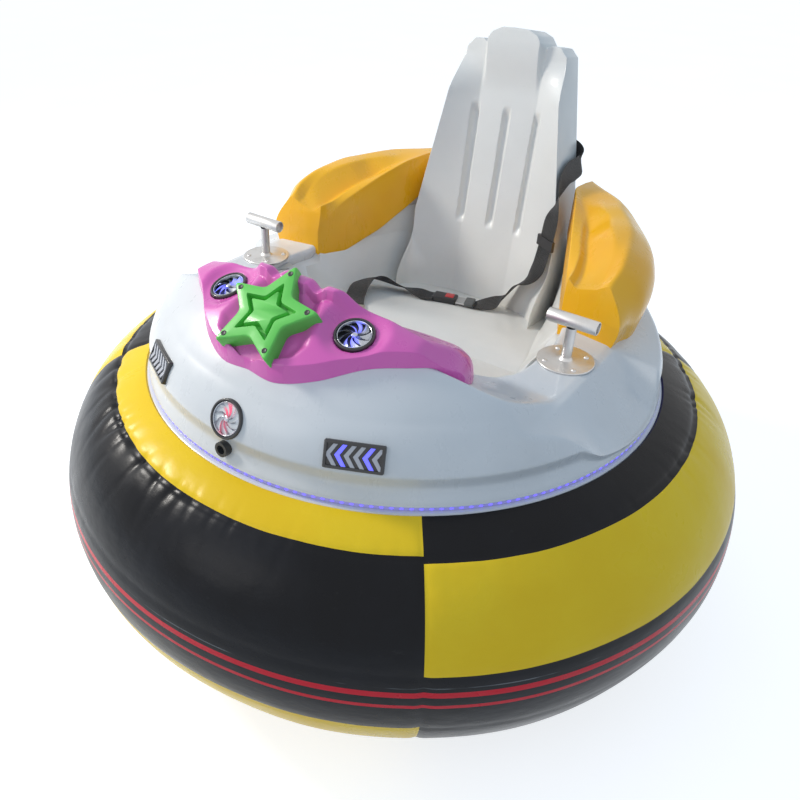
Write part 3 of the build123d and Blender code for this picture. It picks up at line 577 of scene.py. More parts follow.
def wrap_up(
    bm: bmesh.types.BMesh,
    name: str,
    finish: Finish,
    body: str = "car",
    replaces: Sequence[str] = (),
    sharp: float = 35.0,
) -> bpy.types.Object:
    """Turn a finished bmesh into a piece.

    Args:
        bm: the mesh, which is freed.
        name: the piece's name.
        finish: its finish.
        body: the body that it rides on.
        replaces: the CAD nodes that it stands for.
        sharp: edges steeper than this many degrees stay sharp.

    Returns:
        The new object.
    """
    mesh = bpy.data.meshes.new(name)
    bm.to_mesh(mesh)
    bm.free()
    mesh.shade_smooth()
    mesh.set_sharp_from_angle(angle=math.radians(sharp))
    mesh.materials.append(finish.material())
    piece = bpy.data.objects.new(name, mesh)
    bpy.context.scene.collection.objects.link(piece)
    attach(piece, body)
    if replaces:
        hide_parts(*replaces)
    log.info("%s: %d faces", name, len(mesh.polygons))
    return piece


def shaped_grid(
    columns: int, rows: int, place: Callable[[float, float], Vector], mapped: bool = False
) -> bmesh.types.BMesh:
    """A grid laid over a form.

    Args:
        columns: divisions along the first share.
        rows: divisions along the second share.
        place: gives the position of two shares from 0 to 1.
        mapped: whether the shares are kept as a UV map.

    Returns:
        The new bmesh.
    """
    bm = bmesh.new()
    bmesh.ops.create_grid(bm, x_segments=columns, y_segments=rows, size=0.5)
    if mapped:
        layer = bm.loops.layers.uv.new("UVMap")
        for face in bm.faces:
            for loop in face.loops:
                loop[layer].uv = (loop.vert.co.x + 0.5, loop.vert.co.y + 0.5)
    for vert in bm.verts:
        vert.co = place(vert.co.x + 0.5, vert.co.y + 0.5)
    return bm


def spun(profile: Sequence[Pair], steps: int, at: Matrix | None = None) -> bmesh.types.BMesh:
    """Turn a profile of (radius, height) points about its axis and set it in place.

    Args:
        profile: the points from one end to the other.
        steps: sides round the axis.
        at: the placing matrix, if it is moved.

    Returns:
        The new bmesh.
    """
    bm = bmesh.new()
    chain = [bm.verts.new((r, 0.0, z)) for r, z in profile]
    edges = [bm.edges.new(pair) for pair in zip(chain, chain[1:])]
    bmesh.ops.spin(
        bm, geom=chain + edges, cent=(0, 0, 0), axis=(0, 0, 1), dvec=(0, 0, 0),
        angle=2 * math.pi, steps=steps, use_merge=True, use_duplicate=False,
    )
    bmesh.ops.remove_doubles(bm, verts=bm.verts, dist=1e-6)
    bmesh.ops.recalc_face_normals(bm, faces=bm.faces)
    if at is not None:
        bmesh.ops.transform(bm, matrix=at, verts=bm.verts)
    return bm


def soft_block(size: Triple, radius: float, at: Matrix, segments: int = 3) -> bmesh.types.BMesh:
    """A block with rounded edges, centred on a place.

    Args:
        size: its width, length and height.
        radius: the rounding of its edges.
        at: the placing matrix of its centre.
        segments: steps in the rounding.

    Returns:
        The new bmesh.
    """
    bm = bmesh.new()
    bmesh.ops.create_cube(bm, size=1.0)
    bmesh.ops.scale(bm, vec=size, verts=bm.verts)
    bmesh.ops.bevel(
        bm, geom=bm.edges[:], offset=radius, segments=segments, profile=0.5, affect="EDGES", material=-1
    )
    bmesh.ops.transform(bm, matrix=at, verts=bm.verts)
    return bm


def join(parts: Iterable[bmesh.types.BMesh]) -> bmesh.types.BMesh:
    """Put several bmeshes into one.

    Args:
        parts: the bmeshes, which are freed.

    Returns:
        The new bmesh.
    """
    whole = bmesh.new()
    for part in parts:
        mesh = bpy.data.meshes.new("part")
        part.to_mesh(mesh)
        part.free()
        whole.from_mesh(mesh)
        bpy.data.meshes.remove(mesh)
    return whole


def upright(origin: Triple, across: Triple, out: Triple) -> Matrix:
    """A placing matrix from an origin, its X direction and its Z direction.

    Args:
        origin: where the origin goes.
        across: the way X points, roughly.
        out: the way Z points.

    Returns:
        The matrix.
    """
    z = Vector(out).normalized()
    x = Vector(across)
    x = (x - z * x.dot(z)).normalized()
    y = z.cross(x)
    return Matrix.Translation(origin) @ Matrix((x, y, z)).transposed().to_4x4()


def rounded(corners: Sequence[Pair], reach: float, steps: int = 4) -> list[Pair]:
    """A closed outline with each corner rounded over a reach.

    Args:
        corners: the outline's corners in order.
        reach: how far from a corner it starts.
        steps: steps in each rounding.

    Returns:
        The points of the new outline.
    """
    out: list[Pair] = []
    count = len(corners)
    for i, corner in enumerate(corners):
        here = Vector(corner)
        before, after = Vector(corners[i - 1]), Vector(corners[(i + 1) % count])
        a = here + (before - here) * min(reach / (before - here).length, 0.45)
        b = here + (after - here) * min(reach / (after - here).length, 0.45)
        for k in range(steps + 1):
            t = k / steps
            p = a * (1 - t) ** 2 + here * (2 * t * (1 - t)) + b * t**2
            out.append((p.x, p.y))
    return out


def along_table(table: Table, share: float) -> list[float]:
    """Values of a table's rows at a share of its length, on a smooth curve through the rows.

    Args:
        table: rows of values at even steps.
        share: a share of its length, 0 to 1.

    Returns:
        The values there.
    """
    last = len(table) - 1
    at = min(max(share, 0.0), 1.0) * last
    i = min(int(at), last - 1)
    t = at - i
    p0, p1, p2, p3 = (table[min(max(k, 0), last)] for k in (i - 1, i, i + 1, i + 2))
    return [
        0.5 * (2 * b + (c - a) * t + (2 * a - 5 * b + 4 * c - d) * t * t + (3 * b - a - 3 * c + d) * t**3)
        for a, b, c, d in zip(p0, p1, p2, p3)
    ]


def between(points: Sequence[Pair], x: float) -> float:
    """Height of a polyline of (x, height) at x.

    Args:
        points: the polyline, in order of x.
        x: where it is read.

    Returns:
        The height there.
    """
    for (x0, y0), (x1, y1) in zip(points, points[1:]):
        if x <= x1:
            return y0 + (y1 - y0) * max(x - x0, 0.0) / (x1 - x0)
    return points[-1][1]


def softly(points: Sequence[Pair], x: float, reach: float) -> float:
    """Height of a polyline with its corners eased over a reach."""
    weights = (1, 2, 3, 4, 3, 2, 1)
    return sum(between(points, x + reach * k / 3) * w for k, w in zip(range(-3, 4), weights)) / 16


def ease(value: float, low: float, high: float) -> float:
    """A smooth step from 0 to 1."""
    t = min(max((value - low) / (high - low), 0.0), 1.0)
    return t * t * (3 - 2 * t)


def lower_of(a: float, b: float, reach: float) -> float:
    """The lower of two values with a rounded change-over."""
    h = max(reach - abs(a - b), 0.0) / reach
    return min(a, b) - h * h * reach / 4


# ------------------------------------------------------------------ ring


@dataclass
class InflatedRing:
    """The ring: a tube of welded panels, puckered along its welds."""

    tube_r: float = 0.235
    centre_r: float = 0.465
    centre_z: float = 0.290
    drum_r: float = 0.3457
    low_z: float = 0.0955
    seat_z: float = 0.4962
    hull_r: float = 0.5197
    first_seam: float = 38.0
    welds: tuple[Triple, ...] = (
        (60.0, 0.0060, 1.0), (17.4, 0.0018, 0.30), (-11.8, 0.0016, 0.35), (-62.0, 0.002, 0.5),
    )
    swell: float = 0.0022
    seam_depth: float = 0.0022
    crease_depth: float = 0.0016
    tight: float = 0.14
    slack: tuple[Triple, ...] = ((-24.0, 26.0, 1.0), (118.0, 22.0, 0.6), (-152.0, 26.0, 0.7))

    def relief(self, azimuth: float, angle: float) -> float:
        """How far the skin stands out at an azimuth and a section angle, both in degrees.

        Args:
            azimuth: degrees round the ring from the nose.
            angle: degrees round the section, 0 outermost.

        Returns:
            The height over the tube.
        """
        a = math.radians(azimuth)
        round_trip = Vector((math.cos(a) * 2.2, math.sin(a) * 2.2, angle * 0.02))
        out = self.swell * noise.noise(round_trip * 1.4)
        slack = self.tight
        for middle, spread, amount in self.slack:
            off = (azimuth - middle + 180) % 360 - 180
            slack += amount * math.exp(-((off / spread) ** 2))
        for number, (line, depth, pucker) in enumerate(self.welds):
            away = angle - line
            out -= depth * 0.55 * math.exp(-((away / 1.3) ** 2))
            below = math.exp(-abs(away) / (9.0 if away < 0 else 3.5))
            spread = Vector((math.cos(a) * 13.0, math.sin(a) * 13.0, number * 5.0 + away * 0.012))
            folds = (1 - min(abs(noise.noise(spread)) * 2.6, 1.0)) ** 3
            out -= depth * pucker * folds * below * slack
            fine = noise.noise(spread * 2.3 + Vector((3.1, 0.0, 0.0)))
            out += depth * pucker * 0.3 * fine * below * slack
        for k in range(4):
            off = (azimuth - self.first_seam - 90 * k + 180) % 360 - 180
            out -= self.seam_depth * math.exp(-((off / 0.55) ** 2))
            creases = noise.noise(Vector((off * 0.55, angle * 0.11, k * 4.0)))
            out -= self.crease_depth * max(creases, 0.0) * math.exp(-abs(off) / 4.0)
        return out

    def place(self, u: float, v: float) -> Vector:
        """Position at a share round the ring and a share round its section.

        Args:
            u: share along the grid's columns, 0 to 1.
            v: share along its rows, 0 to 1.

        Returns:
            The position.
        """
        azimuth = self.first_seam + 360.0 * u
        a = math.radians(azimuth)
        if v <= RING_SHARE + 1e-9:
            angle = RING_TOP - RING_TURN * v / RING_SHARE
            fade = ease(v, 0.0, 0.02) * (1 - ease(v, RING_SHARE - 0.05, RING_SHARE))
            reach = self.tube_r + fade * self.relief(azimuth, angle)
            r = self.centre_r + reach * math.cos(math.radians(angle))
            z = self.centre_z + reach * math.sin(math.radians(angle))
        else:
            rest = (v - RING_SHARE) / (1 - RING_SHARE)
            start = self.place(0.0, RING_SHARE)
            path = [
                (math.hypot(start.x, start.y), start.z),
                (self.drum_r, self.low_z), (self.drum_r, self.seat_z), (self.hull_r, self.seat_z),
                (self.hull_r, self.centre_z + self.tube_r * math.sin(math.radians(RING_TOP))),
            ]
            lengths = [math.dist(p, q) for p, q in zip(path, path[1:])]
            at = rest * sum(lengths)
            for (p, q), length in zip(zip(path, path[1:]), lengths):
                if at <= length or q is path[-1]:
                    t = min(at / length, 1.0)
                    r, z = p[0] + (q[0] - p[0]) * t, p[1] + (q[1] - p[1]) * t
                    break
                at -= length
        return Vector((r * math.sin(a), -r * math.cos(a), z))

    def build(self) -> bpy.types.Object:
        """The ring as one closed skin.

        Returns:
            The ring.
        """
        columns, rows = ((640, 150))
        bm = shaped_grid(columns, rows, self.place, mapped=True)
        bmesh.ops.remove_doubles(bm, verts=bm.verts, dist=1e-5)
        bmesh.ops.recalc_face_normals(bm, faces=bm.faces)
        ring = wrap_up(bm, "inflated_ring", RingVinyl(), replaces=("bumper_ring",), sharp=50)
        return ring


# ------------------------------------------------------------------ hull and tub


@dataclass
class Hull:
    """The moulded hull: a dome cut by the deck and its sloping sides, with a rolled lip."""

    lower_arc: tuple[Pair, Pair, Pair] = ((0.511, 0.528), (0.4995, 0.592), (0.462, 0.647))
    upper_arc: tuple[Pair, Pair, Pair] = ((0.462, 0.647), (0.404, 0.702), (0.330, 0.742))
    side: Line = (
        (-0.70, 0.742), (-0.340, 0.742), (-0.262, 0.668), (-0.215, 0.645), (-0.150, 0.624),
        (0.070, 0.624), (0.150, 0.660), (0.300, 0.705), (0.70, 0.705),
    )
    front: Line = ((0.0, 1.024), (0.270, 0.754), (0.400, 0.624), (0.700, 0.528))
    cockpit: Line = (
        (0.092, -0.298), (0.150, -0.226), (0.228, -0.186), (0.286, -0.146), (0.311, -0.100),
        (0.314, 0.018), (0.299, 0.097), (0.191, 0.336), (0.183, 0.424),
    )
    middle: Pair = (0.0, 0.05)
    roll: float = 0.009
    rim_drop: float = 0.026
    shoulder_y: tuple[float, float, float, float] = (-0.24, -0.13, 0.055, 0.095)
    shoulder_x: float = 0.410
    shoulder_slope: float = 0.60
    cove: float = 0.009
    wall: float = 0.004
    break_z: float = 0.580
    lip: Line = (
        (0.5105, 0.5279), (0.5052, 0.5276), (0.5050, 0.5182), (0.5122, 0.5180), (0.5160, 0.5167),
        (0.5182, 0.5143), (0.5190, 0.5110), (0.5190, 0.5025), (0.5176, 0.5003), (0.5000, 0.5002),
    )

    @staticmethod
    def circle(arc: tuple[Pair, Pair, Pair]) -> Triple:
        """Centre and radius of the circle through three points.

        Args:
            arc: the three points.

        Returns:
            The centre's two coordinates and the radius.
        """
        (ax, ay), (mx, my), (bx, by) = arc
        d = 2 * (ax * (my - by) + mx * (by - ay) + bx * (ay - my))
        p, q, s = ax**2 + ay**2, mx**2 + my**2, bx**2 + by**2
        x = (p * (my - by) + q * (by - ay) + s * (ay - my)) / d
        y = (p * (bx - mx) + q * (ax - bx) + s * (mx - ax)) / d
        return x, y, math.hypot(ax - x, ay - y)

    def dome(self, r: float, rise: float = 0.0) -> float:
        """Height of the dome at a radius, with its skin moved out by rise.

        Args:
            r: the radius.
            rise: how far out the skin is moved.

        Returns:
            The height.
        """
        if r < self.upper_arc[2][0]:
            return self.upper_arc[2][1] + rise
        for arc in (self.upper_arc, self.lower_arc):
            x, y, radius = self.circle(arc)
            reach = (radius + rise) ** 2 - (r - x) ** 2
            if reach > 0 and (arc is self.lower_arc or r <= self.upper_arc[0][0] + rise * 0.6):
                return y + math.sqrt(reach)
        return self.break_z

    def radius_at(self, z: float) -> float:
        """Radius of the dome's lower part at a height."""
        x, y, radius = self.circle(self.lower_arc)
        return x + math.sqrt(radius**2 - (z - y) ** 2)

    def height(self, x: float, y: float) -> float:
        """Height of the hull's top at a place.

        Args:
            x: the place's X.
            y: the place's Y.

        Returns:
            The height.
        """
        z = lower_of(self.dome(math.hypot(x, y)), softly(self.side, y, 0.02), 0.010)
        start, full, easing, end = self.shoulder_y
        drop = ease(y, start, full) * (1 - ease(y, easing, end)) * self.shoulder_slope
        drop *= max(abs(x) - self.shoulder_x, 0.0)
        return lower_of(z, softly(self.front, abs(x), 0.008) - drop, 0.006)

    def reach(self, angle: float) -> float:
        """Distance from the middle to the cockpit's edge in a direction from +X.

        Args:
            angle: the direction in radians.

        Returns:
            The distance.
        """
        ring = [(x, y) for x, y in self.cockpit] + [(-x, y) for x, y in reversed(self.cockpit)]
        dx, dy = math.cos(angle), math.sin(angle)
        best = 1.0
        for (x0, y0), (x1, y1) in zip(ring, ring[1:] + ring[:1]):
            x0, y0 = x0 - self.middle[0], y0 - self.middle[1]
            x1, y1 = x1 - self.middle[0], y1 - self.middle[1]
            ex, ey = x1 - x0, y1 - y0
            det = dx * ey - dy * ex
            if abs(det) < 1e-12:
                continue
            t = (x0 * ey - y0 * ex) / det
            s = (x0 * dy - y0 * dx) / det
            if t > 0 and -1e-9 <= s <= 1 + 1e-9:
                best = min(best, t)
        return best

    def edge(self, angle: float) -> float:
        """The cockpit's edge with its corners eased."""
        steps = [math.radians(2.2 * k) for k in range(-2, 3)]
        return sum(self.reach(angle + s) * w for s, w in zip(steps, (1, 2, 3, 2, 1))) / 9

    def build(self) -> bpy.types.Object:
        """The hull's skin from the cockpit's rolled edge out to the lip.

        Returns:
            The hull.
        """
        columns = 360
        edges = [self.edge(2 * math.pi * k / columns) for k in range(columns)]
        roll_rows, field_rows, side_rows = 6, 60, 12
        rows = roll_rows + field_rows + side_rows + len(self.lip)
        outer = self.radius_at(self.break_z)

        def place(u: float, v: float) -> Vector:
            """Position on the roll, the top, the side or the lip, by row.

            Args:
                u: share along the grid's columns, 0 to 1.
                v: share along its rows, 0 to 1.

            Returns:
                The position.
            """
            angle = 2 * math.pi * u
            near = edges[round(u * columns) % columns]
            d = Vector((math.cos(angle), math.sin(angle)))
            middle = Vector(self.middle)
            row = round(v * rows)
            if row <= roll_rows:
                p = middle + d * (near + self.roll)
                z = self.height(p.x, p.y)
                if row == 0:
                    p = middle + d * near
                    return Vector((p.x, p.y, z - self.rim_drop))
                a = math.pi / 2 * (row - 1) / (roll_rows - 1)
                p = middle + d * (near + self.roll * (1 - math.cos(a)))
                return Vector((p.x, p.y, z - self.roll * (1 - math.sin(a))))
            along = middle.dot(d)
            far = -along + math.sqrt(along**2 + outer**2 - middle.length_squared)
            if row <= roll_rows + field_rows:
                t = (row - roll_rows) / field_rows
                p = middle + d * (near + self.roll + (far - near - self.roll) * (1 - (1 - t) ** 1.25))
                return Vector((p.x, p.y, self.height(p.x, p.y)))
            p = middle + d * far
            low_z = self.lower_arc[0][1]
            start_z = min(self.break_z, self.height(p.x, p.y))
            p = p.normalized()
            if row <= roll_rows + field_rows + side_rows:
                t = (row - roll_rows - field_rows) / side_rows
                z = start_z + (low_z - start_z) * t
                share = (start_z - low_z) / (self.break_z - low_z)
                r = self.radius_at(z) - self.cove * share * math.sin(math.pi * t) ** 1.3
            else:
                r, z = self.lip[row - roll_rows - field_rows - side_rows - 1]
            return Vector((p.x * r, p.y * r, z))

        bm = shaped_grid(columns, rows, place)
        bmesh.ops.remove_doubles(bm, verts=bm.verts, dist=1e-5)
        bmesh.ops.recalc_face_normals(bm, faces=bm.faces)
        hull = wrap_up(bm, "hull_moulding", WHITE, replaces=("hull_shell",), sharp=55)
        wall = hull.modifiers.new("wall", "SOLIDIFY")
        wall.thickness, wall.offset = self.wall, -1.0
        return hull


class Corner(Enum):
    """A group of the tub's corners, each rounded by a size of its own."""

    SEAT = "the seat's foot"
    WALL = "the walls"
    WELL = "the footwell's rim"
    CRISP = "left as they are"


@dataclass
class Tub:
    """The cockpit's inside with its seat and footwell, its edges eased as in a moulding."""

    hull: Hull
    ease_by: float = 0.014
    seat_fillet: float = 0.030
    rim_by: float = 0.004
    rim_down: float = 0.021
    seat_y: float = 0.015
    seat_z: float = 0.55
    floor_z: float = 0.48
    well_x: float = 0.1855
    well_z: float = 0.4
    riser_y: float = -0.005
    back_y: float = 0.33
    low_z: float = 0.186
    shortest: float = 0.03
    flattest: float = 18.0

    def build(self) -> bpy.types.Object:
        """A copy of the solid with its corners rounded and its rim under the hull's rolled edge.

        Returns:
            The tub.
        """
        bm = bmesh.new()
        bm.from_mesh(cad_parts["cockpit_tub"].data)
        bmesh.ops.remove_doubles(bm, verts=bm.verts, dist=2e-5)
        for vert in bm.verts:
            x, y, z = vert.co
            if z > self.hull.height(x, y) - 0.004:
                vert.co.z -= self.rim_down
        bmesh.ops.remove_doubles(bm, verts=bm.verts, dist=2e-5)
        bmesh.ops.dissolve_limit(bm, angle_limit=math.radians(2), verts=bm.verts, edges=bm.edges)
        sizes = {Corner.SEAT: self.seat_fillet, Corner.WALL: self.ease_by, Corner.WELL: self.rim_by}
        for corner, offset in sizes.items():
            edges = [e for e in bm.edges if self.is_inner(e) and self.corner(e) is corner]
            bmesh.ops.bevel(
                bm, geom=edges, offset=offset, segments=5, profile=0.5,
                affect="EDGES", material=-1, clamp_overlap=True,
            )
        return wrap_up(bm, "cockpit_moulding", TUB_WHITE_SHADE_LIFTED, replaces=("cockpit_tub",), sharp=40)

    def corner(self, edge: bmesh.types.BMEdge) -> Corner:
        """Which group of corners an edge is in.

        Args:
            edge: an edge of the mesh.

        Returns:
            The group.
        """
        a, b = (v.co for v in edge.verts)
        low, high = min(a.z, b.z), max(a.z, b.z)
        if min(a.y, b.y) > self.seat_y and high < self.seat_z:
            return Corner.SEAT
        if high < self.floor_z and max(abs(a.x), abs(b.x)) < self.well_x and low > self.well_z:
            return Corner.WELL
        if high < self.floor_z and abs((a.y + b.y) / 2 - self.riser_y) < 0.004:
            return Corner.CRISP
        return Corner.WALL

    def is_inner(self, edge: bmesh.types.BMEdge) -> bool:
        """Whether an edge is a long corner of the seat or the walls on the inside.

        Args:
            edge: an edge of the mesh.

        Returns:
            True for such an edge.
        """
        if len(edge.link_faces) != 2 or edge.calc_length() < self.shortest:
            return False
        if edge.calc_face_angle(0.0) < math.radians(self.flattest):
            return False
        centre = (edge.verts[0].co + edge.verts[1].co) / 2
        if centre.y > self.back_y:
            return False
        return centre.z > self.low_z and all(self.faces_in(face) for face in edge.link_faces)

    def faces_in(self, face: bmesh.types.BMFace) -> bool:
        """Whether a face looks into the cockpit.

        Args:
            face: a face of the mesh.

        Returns:
            True for such a face.
        """
        centre = face.calc_center_median()
        if face.normal.z > 0.2:
            return True
        if face.normal.y < -0.7 and abs(centre.y) < 0.012 and centre.z > 0.47:
            return True
        return face.normal.x * centre.x + face.normal.y * (centre.y - 0.05) < 0 and face.normal.z > -0.2


# ------------------------------------------------------------------ pods


@dataclass
class SidePods:
    """The two yellow arm pods, each a hollowed wing with a raised rim."""

    rows: Table = (
        (325.8, 11.6, 23.5, 575, 640, 0.5, 660, 40, 680, 55, 690, 405, 672, 414, 650),
        (305.9, 57.5, 23.5, 578, 668, 0.5, 705, 52, 715, 73, 732, 418, 704, 430, 670),
        (294.0, 85.0, 23.5, 582, 681, 1, 720, 65, 728, 87, 754, 432, 730, 450, 690),
        (278.1, 121.7, 23.5, 595, 701, 11, 726, 76, 758, 96, 771, 448, 742, 463, 695),
        (262.2, 158.4, 23.5, 610, 722, 18, 740, 74, 776, 104, 779, 456, 748, 470, 700),
        (246.2, 195.0, 23.5, 626, 741, 18, 755, 69, 785, 106, 787, 461, 752, 473, 700),
        (230.3, 231.7, 23.5, 642, 759, 19, 766, 68, 788, 100, 791, 462, 757, 474, 705),
        (214.4, 268.4, 23.5, 665, 774, 21, 777, 54, 792, 89, 796, 462, 765, 474, 710),
        (198.5, 305.1, 23.5, 688, 787, 12, 790, 47, 793, 86, 797, 464, 772, 474, 712),
        (184.0, 338.0, 42.0, 711, 796, 10, 798, 40, 799, 58, 800, 464, 778, 474, 715),
        (184.0, 385.0, 64.5, 716, 799, 6, 800, 14, 801, 22, 801, 464, 780, 474, 716),
    )
    reaches: tuple[float, ...] = (0.004, 0.0035, 0.0035, 0.009, 0.006, 0.009, 0.020, 0.03)
    ledge_up: float = 10.0
    channel: Pair = (0.26, 0.20)
    foot_in: float = 20.0
    foot_z: float = 600.0
    flap: float = 4.6
    face_a: Pair = (0.282, 0.084)
    face_b: Pair = (0.398, 0.071)
    nose_z: float = 0.664
    nose_lean: float = 10.0
    crease_to: float = 0.15
    crease_by: float = 0.0045

    @staticmethod
    def out_to(x: float, y: float, angle: float, radius: float) -> float:
        """How far out a line at an angle meets a radius about the ring's axis."""
        along = x * math.cos(angle) + y * math.sin(angle)
        return -along + math.sqrt(along**2 + radius**2 - x**2 - y**2)

    def section(self, share: float) -> tuple[Vector, Vector, list[Vector]]:
        """Origin, outward direction and the (out, height) points of the section at a share.

        Args:
            share: share of the pod's length, 0 at the front.

        Returns:
            The origin, the direction and the points.
        """
        x, y, angle, flap, top, *rest = along_table(self.rows, share)
        s_n, s_z, r_n, r_z, c_n, c_z, sh_r, sh_z, be_r, be_z = rest
        a = math.radians(angle)
        wide = r_n - s_n
        up = self.ledge_up * ease(s_n, 4.0, 14.0)
        across, deep = self.channel
        channel = (s_n + across * wide, s_z - deep * wide * ease(wide, 30.0, 50.0))
        points = [(self.flap, flap), (0.0, flap), (0.0, top + up), (s_n, s_z), channel]
        points += [(r_n, r_z), (c_n, c_z)]
        for radius, z in ((sh_r, sh_z), (be_r, be_z), (be_r - self.foot_in, self.foot_z)):
            points.append((self.out_to(x, y, a, radius), z))
        return (
            Vector((x, y, 0.0)) / 1000,
            Vector((math.cos(a), math.sin(a), 0.0)),
            [Vector((n, z)) / 1000 for n, z in points],
        )

    def outline(self, points: list[Vector]) -> list[Vector]:
        """The section's points with each corner rounded by its own reach.

        Args:
            points: the section's corners.

        Returns:
            The rounded outline.
        """
        out = [points[0]]
        for i, reach in enumerate(self.reaches, start=1):
            here, before, after = points[i], points[i - 1], points[i + 1]
            a = here + (before - here) * min(reach / max((before - here).length, 1e-4), 0.46)
            b = here + (after - here) * min(reach / max((after - here).length, 1e-4), 0.46)
            for k in range(5):
                t = k / 4
                out.append(a * (1 - t) ** 2 + here * (2 * t * (1 - t)) + b * t**2)
        out.append(points[-1])
        return out

    def one(self) -> bmesh.types.BMesh:
        """The left pod.

        Returns:
            The pod, still without its small bevels.
        """
        columns = 66
        made = []
        for k in range(columns + 1):
            origin, outward, points = self.section(k / columns)
            made.append((origin, outward, self.outline(points)))
        rows = len(made[0][2]) - 1

        def place(u: float, v: float) -> Vector:
            """Position on a section's outline.

            Args:
                u: share along the grid's columns, 0 to 1.
                v: share along its rows, 0 to 1.

            Returns:
                The position.
            """
            origin, outward, outline = made[round(u * columns)]
            p = outline[round(v * rows)]
            return origin + outward * p.x + UP * p.y

        bm = shaped_grid(columns, rows, place)
        way = Vector((self.face_b[0] - self.face_a[0], self.face_b[1] - self.face_a[1], 0)).normalized()
        back = UP.cross(way)
        lean = math.radians(self.nose_lean)
        start = Vector((*self.face_a, self.nose_z))
        for normal in (back, back * math.cos(lean) - UP * math.sin(lean)):
            cut = bmesh.ops.bisect_plane(
                bm, geom=bm.verts[:] + bm.edges[:] + bm.faces[:], dist=1e-5,
                plane_co=start, plane_no=normal, clear_inner=True,
            )
            edges = [g for g in cut["geom_cut"] if isinstance(g, bmesh.types.BMEdge) and g.is_boundary]
            bmesh.ops.contextual_create(bm, geom=edges)
        bmesh.ops.recalc_face_normals(bm, faces=bm.faces)
        return bm

    def build(self) -> None:
        """Both pods."""
        left = self.one()
        crease = [
            e for e in left.edges
            if len(e.link_faces) == 2
            and e.calc_face_angle(0.0) > math.radians(38)
            and e.verts[0].co.y < self.crease_to
        ]
        bmesh.ops.bevel(
            left, geom=crease, offset=self.crease_by, segments=3, profile=0.5,
            affect="EDGES", material=-1, clamp_overlap=True,
        )
        right = left.copy()
        bmesh.ops.scale(right, vec=(-1, 1, 1), verts=right.verts)
        bmesh.ops.reverse_faces(right, faces=right.faces)
        wrap_up(left, "arm_pod_left", POD, replaces=("side_pod_left",), sharp=60)
        wrap_up(right, "arm_pod_right", POD, replaces=("side_pod_right",), sharp=60)


# ------------------------------------------------------------------ backrest


@dataclass
class Backrest:
    """The tall backrest with its fluted face, side bolsters and notched head."""

    face_y: float = 0.326
    face_z: float = 0.692
    lean: float = 0.10
    low_z: float = 0.507
    depth: float = 0.085
    top_depth: float = 0.058
    top_drop: float = 0.012
    half: Line = ((0.507, 0.174), (0.690, 0.176), (0.850, 0.146), (1.042, 0.110))
    crown: Line = (
        (0.0, 1.080), (0.030, 1.079), (0.050, 1.070), (0.060, 1.056),
        (0.066, 1.046), (0.076, 1.053), (0.096, 1.052), (0.110, 1.036),
    )
    flutes: tuple[float, ...] = (-0.071, 0.003, 0.074)
    flute_r: float = 0.009
    flute_z: Pair = (0.672, 0.934)
    flute_ends: Pair = (0.02, 0.03)
    bolster_x: float = 0.066
    bolster_rise: float = 0.031
    bolster_curve: float = 1.15
    bolster_end: Pair = (0.95, 1.03)
    head_rise: float = 0.017
    head_z: Pair = (0.955, 1.06)
    head_x: Pair = (0.057, 0.066)
    foot_turn: float = 0.052
    foot_z: Pair = (0.54, 0.64)
    back_narrow: float = 0.985
    rim_by: float = 0.007

    def front(self, x: float, z: float, half: float) -> float:
        """Y of the front face at a place on it.

        Args:
            x: the place's X.
            z: the place's height.
            half: half the backrest's width at that height.

        Returns:
            The face's Y.
        """
        y = self.face_y + self.lean * (z - self.face_z)
        bolster = max(abs(x) - self.bolster_x, 0.0) / max(half - self.bolster_x, 0.02)
        fade = 1 - ease(z, *self.bolster_end)
        y -= self.bolster_rise * bolster**self.bolster_curve * fade
        y -= self.head_rise * ease(z, *self.head_z) * (1 - ease(abs(x), *self.head_x))
        turn_r = self.foot_turn * (1 - ease(z, *self.foot_z))
        into = max(abs(x) - (half - turn_r), 0.0)
        if turn_r > 0.001:
            y -= turn_r - math.sqrt(max(turn_r**2 - min(into, turn_r) ** 2, 0.0))
        groove = 0.0
        low, high = self.flute_z
        for at in self.flutes:
            inside = max(1 - ((x - at) / self.flute_r) ** 2, 0.0)
            ends = ease(z, low, low + self.flute_ends[0]) * (1 - ease(z, high - self.flute_ends[1], high))
            groove = max(groove, math.sqrt(inside) * self.flute_r * ends)
        return y + groove

    def build(self) -> bpy.types.Object:
        """The backrest as one closed form.

        Returns:
            The backrest.
        """
        columns, rows = 150, 120

        def place(u: float, v: float) -> Vector:
            """Position on the front face.

            Args:
                u: share along the grid's columns, 0 to 1.
                v: share along its rows, 0 to 1.

            Returns:
                The position.
            """
            side = 2 * u - 1
            top = softly(self.crown, abs(side) * self.crown[-1][0], 0.003)
            z = self.low_z + (top - self.low_z) * v
            half = between(self.half, z)
            x = side * half
            return Vector((x, self.front(x, z, half), z))

        bm = shaped_grid(columns, rows, place)
        made = bmesh.ops.extrude_face_region(bm, geom=bm.faces[:])
        for vert in (g for g in made["geom"] if isinstance(g, bmesh.types.BMVert)):
            x, _, z = vert.co
            up = (z - self.low_z) / (self.crown[0][1] - self.low_z)
            depth = self.depth + (self.top_depth - self.depth) * up
            vert.co.y = self.face_y + self.lean * (z - self.face_z) + depth
            vert.co.z -= self.top_drop * up**6
            vert.co.x *= self.back_narrow
        bmesh.ops.recalc_face_normals(bm, faces=bm.faces)
        steep = math.radians(55)
        rim = [e for e in bm.edges if e.calc_face_angle(0.0) > steep and e.calc_length() > 0.0004]
        bmesh.ops.bevel(
            bm, geom=rim, offset=self.rim_by, segments=4, profile=0.5,
            affect="EDGES", material=-1, clamp_overlap=True,
        )
        return wrap_up(bm, "backrest_moulding", BACK_WHITE_SHADE_LIFTED, replaces=("seat_back",), sharp=48)


# ------------------------------------------------------------------ dash


